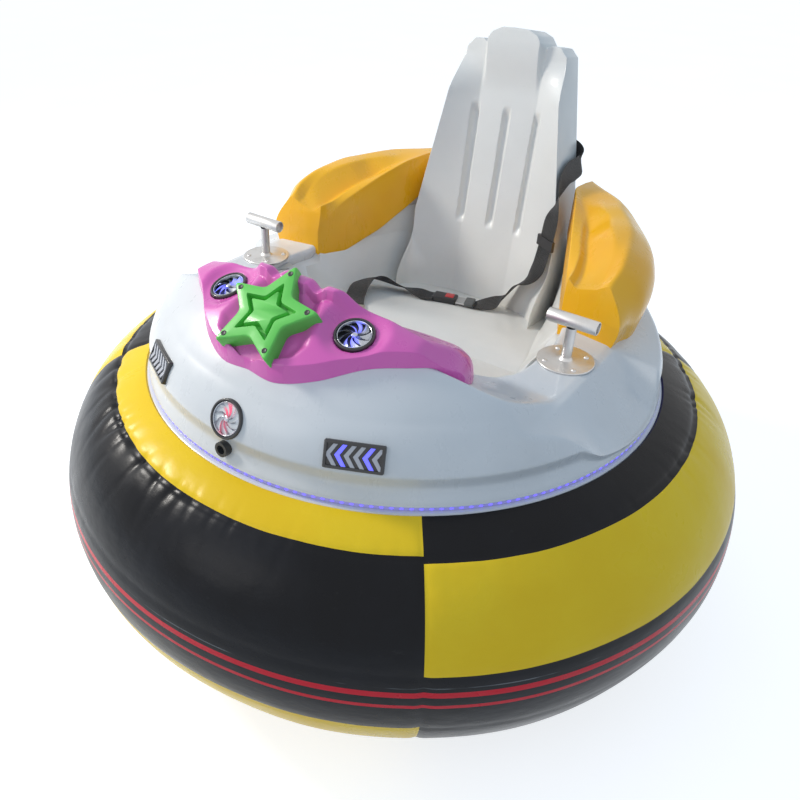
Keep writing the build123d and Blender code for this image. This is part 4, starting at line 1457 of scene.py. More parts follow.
@dataclass
class Dash:
    """The magenta cover over the nose with a recess round its star and two lamp mounds."""

    hull: Hull
    front_line: Line = (
        (0.0, -0.441), (0.058, -0.440), (0.120, -0.412), (0.180, -0.362),
        (0.235, -0.322), (0.270, -0.290), (0.291, -0.262),
    )
    rear_line: Line = (
        (0.0, -0.306), (0.052, -0.305), (0.104, -0.296), (0.128, -0.246),
        (0.160, -0.209), (0.200, -0.184), (0.240, -0.168),
    )
    thickness: float = 0.024
    side: Line = (
        (-0.470, 0.715), (-0.430, 0.725), (-0.322, 0.786), (-0.303, 0.785), (-0.286, 0.738),
        (-0.223, 0.704), (-0.190, 0.686), (-0.150, 0.655),
    )
    front: Line = (
        (0.0, 0.795), (0.090, 0.790), (0.150, 0.760), (0.235, 0.737), (0.268, 0.705), (0.310, 0.678),
    )
    recess: Line = (
        (-0.452, 0.0), (-0.436, 0.052), (-0.420, 0.084), (-0.400, 0.094),
        (-0.361, 0.082), (-0.330, 0.068), (-0.300, 0.062),
    )
    recess_depth: float = 0.013
    recess_soft: float = 0.026
    flat_z: float = 0.80
    flat_r: float = 0.33
    hump_x: Pair = (0.024, 0.050)
    hump_y: Pair = (-0.352, -0.330)
    hump_up: float = 0.002
    lamp_at: Triple = (0.136, -0.341, 0.737)
    lamp_tilt: float = 20.0
    mound_r: Pair = (0.036, 0.062)
    lamp_well_r: Pair = (0.0270, 0.0325)
    lamp_well_depth: float = 0.013
    end_from: float = 0.87
    end_bulge: float = 0.012
    end_low: float = 0.22
    rim_by: float = 0.006

    def top(self, x: float, y: float) -> float:
        """Height of the cover's top at a place.

        Args:
            x: the place's X.
            y: the place's Y.

        Returns:
            The height.
        """
        r = math.hypot(x, y)
        over_hull = self.hull.dome(r, self.thickness) if r > self.flat_r else self.flat_z
        z = lower_of(over_hull, softly(self.side, y, 0.010), 0.010)
        z = lower_of(z, softly(self.front, abs(x), 0.010), 0.010)
        edge = between(self.recess, y)
        inside = 1 - ease(abs(x), edge - self.recess_soft, edge)
        hump = (1 - ease(abs(x), *self.hump_x)) * ease(y, *self.hump_y)
        z -= self.recess_depth * inside * (1 - hump)
        z += self.hump_up * hump
        lx, ly, lz = self.lamp_at
        near = math.hypot(abs(x) - lx, y - ly)
        out = self.lamp_out(1)
        plane = lz - (out.x * (abs(x) - lx) + out.y * (y - ly)) / out.z
        z += (plane - 0.0005 - z) * (1 - ease(near, *self.mound_r))
        return z - self.lamp_well_depth * (1 - ease(near, *self.lamp_well_r))

    def lamp_out(self, sign: int) -> Vector:
        """The way a lamp's face points, on one side.

        Args:
            sign: 1 for the left lamp, -1 for the right one.

        Returns:
            The direction.
        """
        azimuth, tilt = math.atan2(self.lamp_at[0], -self.lamp_at[1]), math.radians(self.lamp_tilt)
        outward = math.sin(tilt)
        return Vector((sign * outward * math.sin(azimuth), -outward * math.cos(azimuth), math.cos(tilt)))

    def build(self) -> bpy.types.Object:
        """The cover: its top skin with walls down to the hull.

        Returns:
            The cover.
        """
        columns, rows = 180, 54

        def place(u: float, v: float) -> Vector:
            """Position on the cover's top skin, from its front line to its rear line.

            Args:
                u: share along the grid's columns, 0 to 1.
                v: share along its rows, 0 to 1.

            Returns:
                The position.
            """
            side = 2 * u - 1
            fx, fy = along_table(self.front_line, abs(side))
            rx, ry = along_table(self.rear_line, abs(side))
            bulge = self.end_bulge * math.sin(math.pi * v) * ease(abs(side), 0.9, 1.0)
            x = fx + (rx - fx) * v + bulge
            y = fy + (ry - fy) * v + bulge * 0.6
            z, low = self.top(x, y), self.hull.height(x, y) + 0.001
            end = max(abs(side) - self.end_from, 0.0) / (1 - self.end_from)
            z = low + (z - low) * max(math.sqrt(max(1 - end**3, 0.0)), self.end_low)
            return Vector((math.copysign(x, side) if side else 0.0, y, z))

        bm = shaped_grid(columns, rows, place)
        made = bmesh.ops.extrude_face_region(bm, geom=bm.faces[:])
        for vert in (g for g in made["geom"] if isinstance(g, bmesh.types.BMVert)):
            vert.co.z = min(self.hull.height(vert.co.x, vert.co.y) + 0.0005, vert.co.z - 0.006)
        bmesh.ops.recalc_face_normals(bm, faces=bm.faces)
        rim = []
        for e in bm.edges:
            x, y, z = (e.verts[0].co + e.verts[1].co) / 2
            if e.calc_face_angle(0.0) > math.radians(50) and z > self.hull.height(x, y) + 0.01:
                rim.append(e)
        bmesh.ops.bevel(
            bm, geom=rim, offset=self.rim_by, segments=4, profile=0.5,
            affect="EDGES", material=-1, clamp_overlap=True,
        )
        return wrap_up(bm, "dash_moulding", DASH, replaces=("dash_cover",), sharp=55)


@dataclass
class StarPad:
    """The green star on the dash: a sunk groove round a smaller star, and in each tip a dark disc painted as
    the shade of a screw hole.
    """

    middle: Triple = (0.0, -0.394, 0.755)
    tilt: float = 33.0
    outer: float = 0.094
    inner: float = 0.047
    thickness: float = 0.052
    groove: Pair = (0.60, 0.43)
    groove_depth: float = 0.013
    lip: float = 0.0022
    tip_r: float = 0.009
    # screw_at and screw: where and how the dark discs of painted hole shade sit over the star.
    screw_at: float = 0.074
    screw: Line = ((0.0, 0.0003), (0.0034, 0.0003), (0.0040, 0.0007), (0.0046, 0.0005), (0.0048, -0.0004))

    def loop(self, bm: bmesh.types.BMesh, scale: float, z: float) -> list[bmesh.types.BMEdge]:
        """One star-shaped loop of edges at a height.

        Args:
            bm: the mesh to build in.
            scale: its size against the star's.
            z: its height.

        Returns:
            The loop's edges.
        """
        corners = []
        for i in range(10):
            r = (self.outer if i % 2 == 0 else self.inner) * scale
            a = math.radians(90 + 36 * i)
            corners.append((r * math.cos(a), r * math.sin(a)))
        verts = [bm.verts.new((x, y, z)) for x, y in rounded(corners, self.tip_r * scale)]
        return [bm.edges.new(pair) for pair in zip(verts, verts[1:] + verts[:1])]

    def build(self) -> None:
        """The star, and dark discs painted as the shade in its screw holes."""
        tilt = math.radians(self.tilt)
        place = upright(self.middle, (1, 0, 0), (0, -math.sin(tilt), math.cos(tilt)))
        bm = bmesh.new()
        lip, deep = self.lip, self.groove_depth
        g_out, g_in = self.groove
        stack = (
            (1.0, -self.thickness), (1.0, -0.006), (0.993, -0.0028), (0.972, -0.0006), (0.945, 0.0),
            (g_out + 0.01, 0.0), (g_out, -lip * 0.5), (g_out - 0.012, -deep * 0.6), (g_out - 0.02, -deep),
            (g_in + 0.03, -deep), (g_in + 0.018, -deep * 0.6), (g_in, -lip * 0.5), (g_in - 0.015, 0.0),
        )
        loops = [self.loop(bm, scale, z) for scale, z in stack]
        for a, b in zip(loops, loops[1:]):
            bmesh.ops.bridge_loops(bm, edges=a + b)
        bmesh.ops.contextual_create(bm, geom=loops[-1])
        bmesh.ops.contextual_create(bm, geom=loops[0])
        bmesh.ops.recalc_face_normals(bm, faces=bm.faces)
        bmesh.ops.transform(bm, matrix=place, verts=bm.verts)
        wrap_up(bm, "star_moulding", STAR, replaces=("star_pad",), sharp=50)
        # Painted shade: dark discs laid on the tips stand for the shade inside the screw holes.
        screws = []
        for i in range(5):
            a = math.radians(90 + 72 * i)
            at = (self.screw_at * math.cos(a), self.screw_at * math.sin(a), 0.0)
            screws.append(spun(self.screw, 20, place @ Matrix.Translation(at)))
        wrap_up(join(screws), "star_hole_shade_discs", BLACK_PLASTIC, sharp=40)


# ------------------------------------------------------------------ lamps


class Lighting(Enum):
    """How a lamp is lit: its colour and its strength."""

    BLUE = ((0.22, 0.24, 1.0), 1.5)
    RED = ((0.75, 0.12, 0.2), 0.7)


@dataclass
class FanLamp:
    """A round lamp: a black case with a well, and a plated rim, swept vanes and a small hub in it."""

    node: str
    place: Matrix
    lighting: Lighting
    radius: float = 0.033
    proud: float = 0.004
    depth: float = 0.018
    vanes: int = 9
    sweep: float = 62.0
    vane_from: float = 0.0050
    vane_long: float = 0.0222
    vane_thick: float = 0.0007
    sunk: float = 0.0030
    spot_at: Pair = (0.002, 0.0150)
    rim: Line = (
        (0.0262, -0.003), (0.0278, -0.003), (0.0278, 0.0012),
        (0.0270, 0.0018), (0.0262, 0.0012), (0.0262, -0.003),
    )
    hub: Line = ((0.0, 0.0016), (0.0030, 0.0014), (0.0048, 0.0002), (0.0052, -0.003), (0.0, -0.003))

    def vane(self, turn: float) -> bmesh.types.BMesh:
        """One swept vane at a turn in degrees.

        Args:
            turn: the vane's turn in degrees.

        Returns:
            The vane.
        """

        def place(u: float, v: float) -> Vector:
            """Position on the vane, from the hub outwards.

            Args:
                u: share along the grid's columns, 0 to 1.
                v: share along its rows, 0 to 1.

            Returns:
                The position.
            """
            r = self.vane_from + self.vane_long * u
            a = math.radians(turn + self.sweep * u * (1.15 - 0.3 * u) + (v - 0.5) * (15 + 9 * u))
            return Vector((r * math.cos(a), r * math.sin(a), -0.0035 + 0.0052 * v - 0.0015 * u * u))

        bm = shaped_grid(10, 4, place)
        bmesh.ops.solidify(bm, geom=bm.faces[:], thickness=self.vane_thick)
        return bm

    def build(self) -> None:
        """The lamp's case, vanes and hub."""
        r, p = self.radius, self.proud
        well = (
            (0.0, p - self.depth), (r, p - self.depth), (r, p - 0.0022), (r - 0.0008, p - 0.0006),
            (r - 0.002, p), (r - 0.0036, p - 0.0003), (r - 0.0046, p - 0.0022), (r - 0.0050, p - 0.009),
            (0.0, p - 0.010),
        )
        wrap_up(spun(well, 72, self.place), f"{self.node}_case", BLACK_GLOSS, replaces=(self.node,), sharp=40)
        lift = self.place @ Matrix.Translation((0, 0, p - self.sunk))
        blades = [self.vane(360.0 * k / self.vanes) for k in range(self.vanes)]
        bm = join([*blades, spun(self.rim, 72), spun(self.hub, 28)])
        bmesh.ops.transform(bm, matrix=lift, verts=bm.verts)
        x, y = self.spot_at
        spots = tuple(tuple(lift @ Vector((x * k, y * k, 0.0))) for k in (1, -1))
        finish = LampVanes(f"{self.node}_vanes", "lamp_black", spots, *self.lighting.value)
        wrap_up(bm, f"{self.node}_vanes", finish, sharp=40)


@dataclass
class ArrowLamp:
    """A flat lamp of six arrow strips pointing at the nose."""

    node: str
    place: Matrix
    towards: int
    lit: tuple[bool, ...]
    size: Triple = (0.094, 0.044, 0.016)
    proud: float = 0.005
    strips: int = 6
    step: float = 0.0142
    strip_half: float = 0.0165
    strip_arm: float = 0.0062
    strip_back: float = 0.0125
    shift: float = 0.002
    corner_r: float = 0.0028
    rim: float = 0.0034
    well_slope: float = 0.0006
    well_depth: float = 0.0026
    strip_low: float = 0.0030
    strip_thick: float = 0.0022

    def strip(self, centre: float) -> bmesh.types.BMesh:
        """One arrow strip, its point towards the nose.

        Args:
            centre: its middle along the lamp.

        Returns:
            The strip.
        """
        half = self.strip_half
        tip = centre - self.towards * self.strip_back / 2
        tail = centre + self.towards * self.strip_back / 2
        w = self.towards * self.strip_arm
        outline = [
            (tip, 0.0), (tail - w * 0.15, half), (tail + w * 0.95, half),
            (tip + w * 1.25, 0.0), (tail + w * 0.95, -half), (tail - w * 0.15, -half),
        ]
        bm = bmesh.new()
        face = bm.faces.new([bm.verts.new((x, y, self.proud - self.strip_low)) for x, y in outline])
        made = bmesh.ops.extrude_face_region(bm, geom=[face])
        upper = [g for g in made["geom"] if isinstance(g, bmesh.types.BMVert)]
        bmesh.ops.translate(bm, vec=(0, 0, self.strip_thick), verts=upper)
        bmesh.ops.recalc_face_normals(bm, faces=bm.faces)
        bmesh.ops.transform(bm, matrix=self.place, verts=bm.verts)
        return bm

    def build(self) -> None:
        """The case and its strips."""
        middle = Matrix.Translation((0, 0, self.proud - self.size[2] / 2))
        bm = soft_block(self.size, self.corner_r, middle)
        top = max(bm.faces, key=lambda f: f.calc_center_median().z)
        bmesh.ops.inset_region(bm, faces=[top], thickness=self.rim, depth=0.0)
        bmesh.ops.inset_region(bm, faces=[top], thickness=self.well_slope, depth=-self.well_depth)
        bmesh.ops.transform(bm, matrix=self.place, verts=bm.verts)
        wrap_up(bm, f"{self.node}_case", BLACK_GLOSS, replaces=(self.node,), sharp=30)
        groups: dict[bool, list[bmesh.types.BMesh]] = {True: [], False: []}
        for k in range(self.strips):
            centre = self.towards * (k - (self.strips - 1) / 2) * self.step - self.towards * self.shift
            groups[self.lit[k]].append(self.strip(centre))
        for on, parts in groups.items():
            if parts:
                finish = LENS_BLUE if on else LENS_GREY_PAINTED_GLOW
                wrap_up(join(parts), f"{self.node}_arrows_{'lit' if on else 'unlit'}", finish, sharp=30)


@dataclass
class NoseLamps:
    """The round lamp on the nose and an arrow lamp on either side of it, laid on the hull."""

    hull: Hull
    z: float = 0.604
    arrow_azimuth: float = 26.0
    lit: tuple[bool, ...] = (False, True, False, False, True, False)
    unlit: tuple[bool, ...] = (False,) * 6

    def seat(self, azimuth: float) -> Matrix:
        """The placing matrix of a lamp on the hull's side.

        Args:
            azimuth: degrees round the hull from the nose.

        Returns:
            The matrix.
        """
        x, y, radius = self.hull.circle(self.hull.lower_arc)
        a = math.radians(azimuth)
        r = self.hull.radius_at(self.z)
        lean = (r - x) / radius
        out = (lean * math.sin(a), -lean * math.cos(a), (self.z - y) / radius)
        return upright((r * math.sin(a), -r * math.cos(a), self.z), (math.cos(a), math.sin(a), 0.0), out)

    def build(self) -> None:
        """The three lamps."""
        FanLamp("nose_lamp", self.seat(0.0), Lighting.RED).build()
        ArrowLamp("arrow_lamp_left", self.seat(self.arrow_azimuth), 1, self.lit).build()
        ArrowLamp("arrow_lamp_right", self.seat(-self.arrow_azimuth), -1, self.unlit).build()


@dataclass
class LedStrip:
    """The strip of small blue lamps in the groove over the hull's lip."""

    count: int = 208
    radius: float = 0.5088
    z: float = 0.5228
    dot_r: float = 0.0026
    dot_scale: Triple = (1.5, 0.45, 0.9)
    carrier: Line = (
        (0.5054, 0.5188), (0.5080, 0.5188), (0.5086, 0.5196),
        (0.5086, 0.5262), (0.5080, 0.5270), (0.5054, 0.5270),
    )

    def build(self) -> None:
        """The carrier, which glows with painted light from the dots, and its dots."""
        wrap_up(spun(self.carrier, 240), "led_carrier_painted_glow", LED_CARRIER_PAINTED_GLOW, replaces=("led_strip",), sharp=40)
        dots = []
        for k in range(self.count):
            dot = bmesh.new()
            bmesh.ops.create_icosphere(dot, subdivisions=1, radius=self.dot_r)
            bmesh.ops.scale(dot, vec=self.dot_scale, verts=dot.verts)
            bmesh.ops.translate(dot, vec=(0, -self.radius, self.z), verts=dot.verts)
            turn = Matrix.Rotation(2 * math.pi * k / self.count, 3, "Z")
            bmesh.ops.rotate(dot, cent=(0, 0, 0), matrix=turn, verts=dot.verts)
            dots.append(dot)
        wrap_up(join(dots), "led_dots", LED_BLUE, sharp=60)


# ------------------------------------------------------------------ controls and belt


@dataclass
class Joystick:
    """One joystick: a foot plate with its weld and screws, a stem and a T-grip."""

    side: str
    sign: int
    x: float = 0.357
    y: float = -0.022
    deck: float = 0.6243
    foot: Line = (
        (0.0, 0.0), (0.050, 0.0), (0.050, 0.0022), (0.0492, 0.003), (0.016, 0.003), (0.0125, 0.0044),
        (0.0102, 0.0075), (0.009, 0.009), (0.009, 0.066),
    )
    screw_at: float = 0.038
    screw_z: float = 0.003
    screw: Line = (
        (0.0, 0.0011), (0.0012, 0.0011), (0.0016, 0.0022), (0.0034, 0.0019), (0.0046, 0.0004), (0.0047, 0.0),
    )
    grip_z: float = 0.702
    grip_r: float = 0.012
    grip_half: float = 0.045

    def build(self) -> None:
        """The stem with its foot, and the grip."""
        at = Matrix.Translation((self.sign * self.x, self.y, self.deck))
        parts = [spun(self.foot, 96, at)]
        for k in range(4):
            a = math.radians(45 + 90 * k)
            seat = (self.screw_at * math.cos(a), self.screw_at * math.sin(a), self.screw_z)
            parts.append(spun(self.screw, 20, at @ Matrix.Translation(seat)))
        stem = f"joystick_stem_{self.side}"
        wrap_up(join(parts), f"stick_stem_{self.side}", STAINLESS, replaces=(stem,), sharp=30)
        across = upright((self.sign * self.x, self.y, self.grip_z), (0, 0, 1), (1, 0, 0))
        r, h = self.grip_r, self.grip_half
        tube = (
            (0.0, h - 0.006), (r - 0.0022, h - 0.006), (r - 0.0020, h - 0.0005),
            (r - 0.0012, h), (r - 0.0004, h - 0.0003), (r, h - 0.001),
        )
        profile = [*tube, *[(a, -b) for a, b in reversed(tube)]]
        grip = f"joystick_grip_{self.side}"
        wrap_up(spun(profile, 64, across), f"stick_grip_{self.side}", STAINLESS, replaces=(grip,), sharp=30)


@dataclass
class Belt:
    """The safety belt: two straps, the buckle and the tongue."""

    width: float = 0.044
    thick: float = 0.0022
    shoulder: Table = (
        (0.0980, 0.4240, 0.8594, 0.100, 0.000, 0.995),
        (0.1380, 0.4240, 0.8470, 0.020, -0.100, 0.990),
        (0.1555, 0.4140, 0.8310, -0.150, -0.250, 0.950),
        (0.1570, 0.3830, 0.8250, -0.170, -0.330, 0.930),
        (0.1580, 0.3520, 0.8240, -0.170, -0.400, 0.900),
        (0.1610, 0.3180, 0.8080, 0.000, -0.700, 0.714),
        (0.1640, 0.2960, 0.7800, 0.450, -0.800, 0.400),
        (0.1640, 0.2830, 0.7420, 0.849, -0.529, 0.000),
        (0.1580, 0.2900, 0.6900, 0.849, -0.529, 0.000),
        (0.1550, 0.2880, 0.6580, 0.849, -0.529, 0.000),
        (0.1490, 0.2860, 0.6320, 0.858, -0.504, 0.101),
        (0.1340, 0.2840, 0.6080, 0.761, -0.507, 0.406),
        (0.1080, 0.2800, 0.5800, 0.398, -0.697, 0.597),
        (0.0760, 0.2720, 0.5360, -0.101, -0.909, -0.404),
        (0.0272, 0.2508, 0.5220, 0.342, -0.931, 0.126),
    )
    lap: Table = (
        (-0.0633, 0.2182, 0.5264, -0.342, 0.931, -0.126),
        (-0.0900, 0.2070, 0.5281, -0.316, 0.949, 0.000),
        (-0.1320, 0.1960, 0.5356, -0.349, 0.814, -0.465),
        (-0.1720, 0.1800, 0.5477, -0.469, 0.625, -0.625),
        (-0.1960, 0.1520, 0.5555, -0.738, 0.527, -0.422),
        (-0.1940, 0.1160, 0.5544, -0.973, 0.205, -0.102),
        (-0.1780, 0.0720, 0.5483, -0.979, -0.206, 0.000),
        (-0.1569, 0.0377, 0.5452, -0.819, -0.568, 0.077),
    )
    curl: float = 0.0012
    buckle_at: tuple[Triple, Triple, Triple] = (
        (-0.036, 0.227, 0.51768), (0.93969, 0.33895, -0.04571), (0, 0.13366, 0.99103),
    )
    buckle: tuple[Triple, Triple] = ((0.054, 0.036, 0.015), (0, 0, 0.0077))
    throat: tuple[Triple, Triple] = ((0.010, 0.030, 0.0085), (-0.0245, 0, 0.0077))
    button: tuple[Triple, Triple] = ((0.020, 0.026, 0.004), (0.010, 0, 0.0147))
    tongue: tuple[Triple, Triple] = ((0.022, 0.042, 0.010), (0.057, 0, 0.0077))

    def strap(self, name: str, table: Table, node: str) -> None:
        """A strap of webbing through its stations.

        Args:
            name: the piece's name.
            table: stations: position and the way across.
            node: the CAD node that it stands for.
        """
        last = 12 * (len(table) - 1)

        def place(u: float, v: float) -> Vector:
            """Position on the strap: along it, then across it.

            Args:
                u: share along the grid's columns, 0 to 1.
                v: share along its rows, 0 to 1.

            Returns:
                The position.
            """
            x, y, z, ax, ay, az = along_table(table, u)
            back = Vector(along_table(table, max(u - 0.01, 0.0))[:3])
            ahead = Vector(along_table(table, min(u + 0.01, 1.0))[:3])
            along = (ahead - back).normalized()
            across = Vector((ax, ay, az))
            across = (across - along * across.dot(along)).normalized()
            normal = along.cross(across)
            edge = 2 * v - 1
            curl = self.curl * edge * edge * math.sin(u * 23.0)
            out = across * (edge * self.width / 2)
            return Vector((x, y, z)) + out + normal * (curl - self.thick / 2)

        bm = shaped_grid(last, 10, place, mapped=True)
        layer = bm.loops.layers.uv.active
        length = sum(math.dist(a[:3], b[:3]) for a, b in zip(table, table[1:])) / self.width
        for face in bm.faces:
            for loop in face.loops:
                loop[layer].uv.x *= length
        bmesh.ops.solidify(bm, geom=bm.faces[:], thickness=self.thick)
        bmesh.ops.recalc_face_normals(bm, faces=bm.faces)
        wrap_up(bm, name, Webbing(), replaces=(node,), sharp=50)

    def block(self, form: tuple[Triple, Triple], radius: float, segments: int = 3) -> bmesh.types.BMesh:
        """A rounded block of the buckle, from its size and its place on it."""
        size, at = form
        return soft_block(size, radius, upright(*self.buckle_at) @ Matrix.Translation(at), segments)

    def build(self) -> None:
        """Straps, buckle and tongue."""
        self.strap("shoulder_webbing", self.shoulder, "shoulder_strap")
        self.strap("lap_webbing", self.lap, "lap_strap")
        case = join([self.block(self.buckle, 0.0035, 4), self.block(self.throat, 0.002)])
        wrap_up(case, "buckle_case", BLACK_PLASTIC, replaces=("belt_buckle",), sharp=40)
        wrap_up(self.block(self.button, 0.0016), "buckle_button", RED_BUTTON, sharp=40)
        wrap_up(self.block(self.tongue, 0.003), "tongue_cover", TONGUE_GREY, sharp=40)


# ------------------------------------------------------------------ running gear


@dataclass
class Wheels:
    """Treads for the drive tyres and bolt heads for the chassis."""

    x: float = 0.250
    y: float = 0.030
    radius: float = 0.100
    profile: Line = (
        (-0.025, 0.080), (-0.025, 0.093), (-0.0235, 0.0975), (-0.019, 0.1), (0.019, 0.1),
        (0.0235, 0.0975), (0.025, 0.093), (0.025, 0.080), (-0.025, 0.080),
    )
    ribs: int = 40
    slant: float = 28.0
    tread_from: float = 0.094
    rib_depth: float = 0.0022
    middle_depth: float = 0.0018
    bolt: Line = ((0.0, 0.0052), (0.0052, 0.0052), (0.0060, 0.0046), (0.0060, 0.0002), (0.0, 0.0002))
    flange_bolts: int = 12
    flange_r: float = 0.325
    flange_z: float = 0.1498
    caster_y: float = 0.235
    caster_half: float = 0.033
    caster_z: float = 0.1455

    def tyre(self, side: str, sign: int) -> None:
        """One tyre with a block tread, riding on its wheel.

        Args:
            side: left or right.
            sign: 1 on the left, -1 on the right.
        """

        def place(u: float, v: float) -> Vector:
            """Position round the tyre and over its section, with the tread cut in.

            Args:
                u: share along the grid's columns, 0 to 1.
                v: share along its rows, 0 to 1.

            Returns:
                The position.
            """
            turn = 2 * math.pi * u
            lengths = [math.dist(p, q) for p, q in zip(self.profile, self.profile[1:])]
            at = v * sum(lengths)
            for (p, q), length in zip(zip(self.profile, self.profile[1:]), lengths):
                if at <= length + 1e-9:
                    break
                at -= length
            t = at / length
            across, r = p[0] + (q[0] - p[0]) * t, p[1] + (q[1] - p[1]) * t
            if r > self.tread_from:
                rib = (turn * self.ribs / (2 * math.pi) + abs(across) * self.slant) % 1.0
                rise = ease(r, self.tread_from, 0.0985)
                r -= self.rib_depth * (1 - ease(abs(rib - 0.5), 0.10, 0.16)) * rise
                r -= self.middle_depth * (1 - ease(abs(across), 0.0012, 0.0028))
            y, z = self.y + r * math.cos(turn), self.radius + r * math.sin(turn)
            return Vector((sign * self.x + across, y, z))

        bm = shaped_grid(320, 72, place)
        bmesh.ops.remove_doubles(bm, verts=bm.verts, dist=1e-6)
        bmesh.ops.recalc_face_normals(bm, faces=bm.faces)
        tyre = f"drive_tyre_{side}"
        wrap_up(bm, f"tread_{side}", TYRE, body=f"drive_wheel_{side}", replaces=(tyre,), sharp=40)

    def bolts(self) -> None:
        """Bolt heads facing down, round the drum's flange and on the caster plates."""
        places = []
        for k in range(self.flange_bolts):
            a = 2 * math.pi * (k + 0.5) / self.flange_bolts
            places.append((self.flange_r * math.cos(a), self.flange_r * math.sin(a), self.flange_z))
        half = self.caster_half
        for end, sx, sy in product((-1, 1), repeat=3):
            places.append((sx * half, end * self.caster_y + sy * half, self.caster_z))
        bolts = [spun(self.bolt, 6, upright(at, (1, 0, 0), (0, 0, -1))) for at in places]
        wrap_up(join(bolts), "chassis_bolts", ZINC, sharp=25)

    def build(self) -> None:
        """Tyres and bolts."""
        self.tyre("left", 1)
        self.tyre("right", -1)
        self.bolts()


DRESS: dict[Finish, tuple[str, ...]] = {
    BLACK_PLASTIC: ("charge_socket",),
    DARK_PLATE: ("belt_slider",),
    STAINLESS: ("belt_tongue", "belt_anchor_seat", "belt_anchor_back", "drive_axle_left", "drive_axle_right"),
    FRAME_PAINT: ("support_drum", "floor_plate", "frame_rail_left", "frame_rail_right"),
    BATTERY_CASE: ("battery_pack",),
    MOTOR_PAINT: ("drive_motor_left", "drive_motor_right"),
    ALLOY: ("drive_hub_left", "drive_hub_right"),
    ZINC: ("caster_mount_front", "caster_mount_rear", "caster_fork_front", "caster_fork_rear"),
    CASTER_TREAD: ("caster_wheel_front", "caster_wheel_rear"),
}


def dress_solids() -> None:
    """Give each CAD node that shows its finish."""
    for finish, nodes in DRESS.items():
        for node in nodes:
            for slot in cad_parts[node].material_slots:
                slot.material = finish.material()
            log.info("%s: %s", node, finish.name)


# ------------------------------------------------------------------ studio


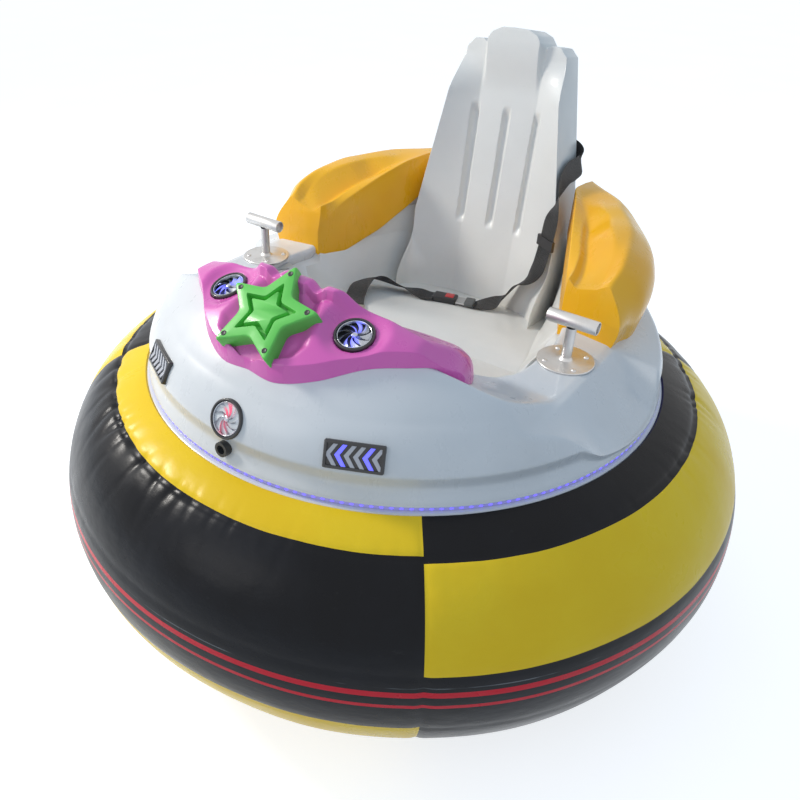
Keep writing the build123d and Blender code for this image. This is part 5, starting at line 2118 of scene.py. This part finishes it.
@dataclass
class Studio:
    """Camera, floor and lamps."""

    camera_at: Triple = (0.7392, -1.1318, 1.2959)
    right: Triple = (0.7943, 0.6074, 0.0146)
    up: Triple = (-0.3526, 0.4413, 0.8252)
    back: Triple = (0.4947, -0.6606, 0.5647)
    lens: float = 33.458
    sensor: float = 36.0
    shift: Pair = (0.0510, 0.0008)
    floor_half: float = 40.0
    floor_tones: tuple[Triple, Triple] = ((0.66, 0.66, 0.66), (0.62, 0.62, 0.62))
    floor_glow: float = 0.72
    sky: tuple[float, float, float, float] = (0.63, 0.80, 1.0, 1.0)
    sky_strength: float = 0.66
    aim: Triple = (0.0, 0.0, 0.45)
    lamps: tuple[tuple[str, Triple, float, float, Triple], ...] = (
        ("key", (-2.28, -1.12, 2.07), 0.6, 56.0, (1.0, 0.96, 0.90)),
        ("fill", (-0.9, -3.0, 2.0), 1.6, 9.0, (1.0, 0.98, 0.96)),
    )

    def camera(self) -> None:
        """The camera."""
        data = bpy.data.cameras.new("camera")
        data.sensor_width, data.lens = self.sensor, self.lens
        data.shift_x, data.shift_y = self.shift
        data.clip_start = 0.01
        eye = bpy.data.objects.new("camera", data)
        axes = Matrix((self.right, self.up, self.back)).transposed()
        eye.matrix_world = Matrix.Translation(self.camera_at) @ axes.to_4x4()
        bpy.context.scene.collection.objects.link(eye)
        bpy.context.scene.camera = eye

    def floor(self) -> None:
        """A pale floor that reads white to the camera and keeps the shadow."""
        bm = bmesh.new()
        bmesh.ops.create_grid(bm, x_segments=2, y_segments=2, size=self.floor_half)
        mesh = bpy.data.meshes.new("floor")
        bm.to_mesh(mesh)
        bm.free()
        shader = Shader("floor_pale")
        tone = shader.span(shader.noise(shader.place(), 2.0, 3.0), 0.2, 0.8)
        shader.set(Base_Color=shader.mix(tone, *self.floor_tones), Roughness=0.9)
        path = shader.add("ShaderNodeLightPath")
        seen = shader.math("MAXIMUM", path.outputs["Is Camera Ray"], path.outputs["Is Glossy Ray"])
        seen = shader.math("MAXIMUM", seen, path.outputs["Is Transmission Ray"])
        glow = shader.math("MULTIPLY", seen, self.floor_glow)
        shader.set(Emission_Color=(1.0, 1.0, 1.0), Emission_Strength=glow)
        shader.set(Specular_IOR_Level=0.0)
        mesh.materials.append(shader.material)
        floor = bpy.data.objects.new("floor", mesh)
        bpy.context.scene.collection.objects.link(floor)

    def lamp(self, name: str, at: Triple, size: float, power: float, colour: Triple) -> None:
        """One soft lamp aimed at the car.

        Args:
            name: its name.
            at: where it hangs.
            size: its diameter.
            power: its power in watts.
            colour: its colour.
        """
        data = bpy.data.lights.new(name, "AREA")
        data.shape, data.size, data.energy, data.color = "DISK", size, power, colour
        lamp = bpy.data.objects.new(name, data)
        lamp.location = at
        lamp.rotation_euler = (Vector(at) - Vector(self.aim)).to_track_quat("Z", "Y").to_euler()
        bpy.context.scene.collection.objects.link(lamp)

    def world(self) -> None:
        """A plain sky: soft light on the car, white behind it."""
        world = bpy.data.worlds.new("studio")
        world.use_nodes = True
        tree = world.node_tree
        tree.nodes.clear()
        output = tree.nodes.new("ShaderNodeOutputWorld")
        mix = tree.nodes.new("ShaderNodeMixShader")
        light = tree.nodes.new("ShaderNodeBackground")
        white = tree.nodes.new("ShaderNodeBackground")
        path = tree.nodes.new("ShaderNodeLightPath")
        light.inputs["Color"].default_value = self.sky
        light.inputs["Strength"].default_value = self.sky_strength
        white.inputs["Color"].default_value = (1, 1, 1, 1)
        white.inputs["Strength"].default_value = 1.0
        seen = tree.nodes.new("ShaderNodeMath")
        also = tree.nodes.new("ShaderNodeMath")
        seen.operation = also.operation = "MAXIMUM"
        tree.links.new(path.outputs["Is Camera Ray"], seen.inputs[0])
        tree.links.new(path.outputs["Is Glossy Ray"], seen.inputs[1])
        tree.links.new(seen.outputs[0], also.inputs[0])
        tree.links.new(path.outputs["Is Transmission Ray"], also.inputs[1])
        tree.links.new(also.outputs[0], mix.inputs[0])
        tree.links.new(light.outputs[0], mix.inputs[1])
        tree.links.new(white.outputs[0], mix.inputs[2])
        tree.links.new(mix.outputs[0], output.inputs["Surface"])
        bpy.context.scene.world = world

    def build(self) -> None:
        """All of the studio."""
        self.camera()
        self.floor()
        self.world()
        for lamp in self.lamps:
            self.lamp(*lamp)
        bpy.context.scene.view_settings.view_transform = "Standard"


def main() -> None:
    """Build the studio and each sub-assembly in order."""
    logging.basicConfig(level=logging.INFO, format="%(name)s: %(message)s")
    Studio().build()
    hull = Hull()
    InflatedRing().build()
    hull.build()
    Tub(hull).build()
    SidePods().build()
    Backrest().build()
    dash = Dash(hull)
    dash.build()
    StarPad().build()
    for side, sign in (("left", 1), ("right", -1)):
        x, y, z = dash.lamp_at
        place = upright((sign * x, y, z), (-y, sign * x, 0.0), tuple(dash.lamp_out(sign)))
        FanLamp(f"dash_lamp_{side}", place, Lighting.BLUE).build()
        Joystick(side, sign).build()
    NoseLamps(hull).build()
    LedStrip().build()
    Belt().build()
    Wheels().build()
    dress_solids()


if __name__ == "__main__":
    main()
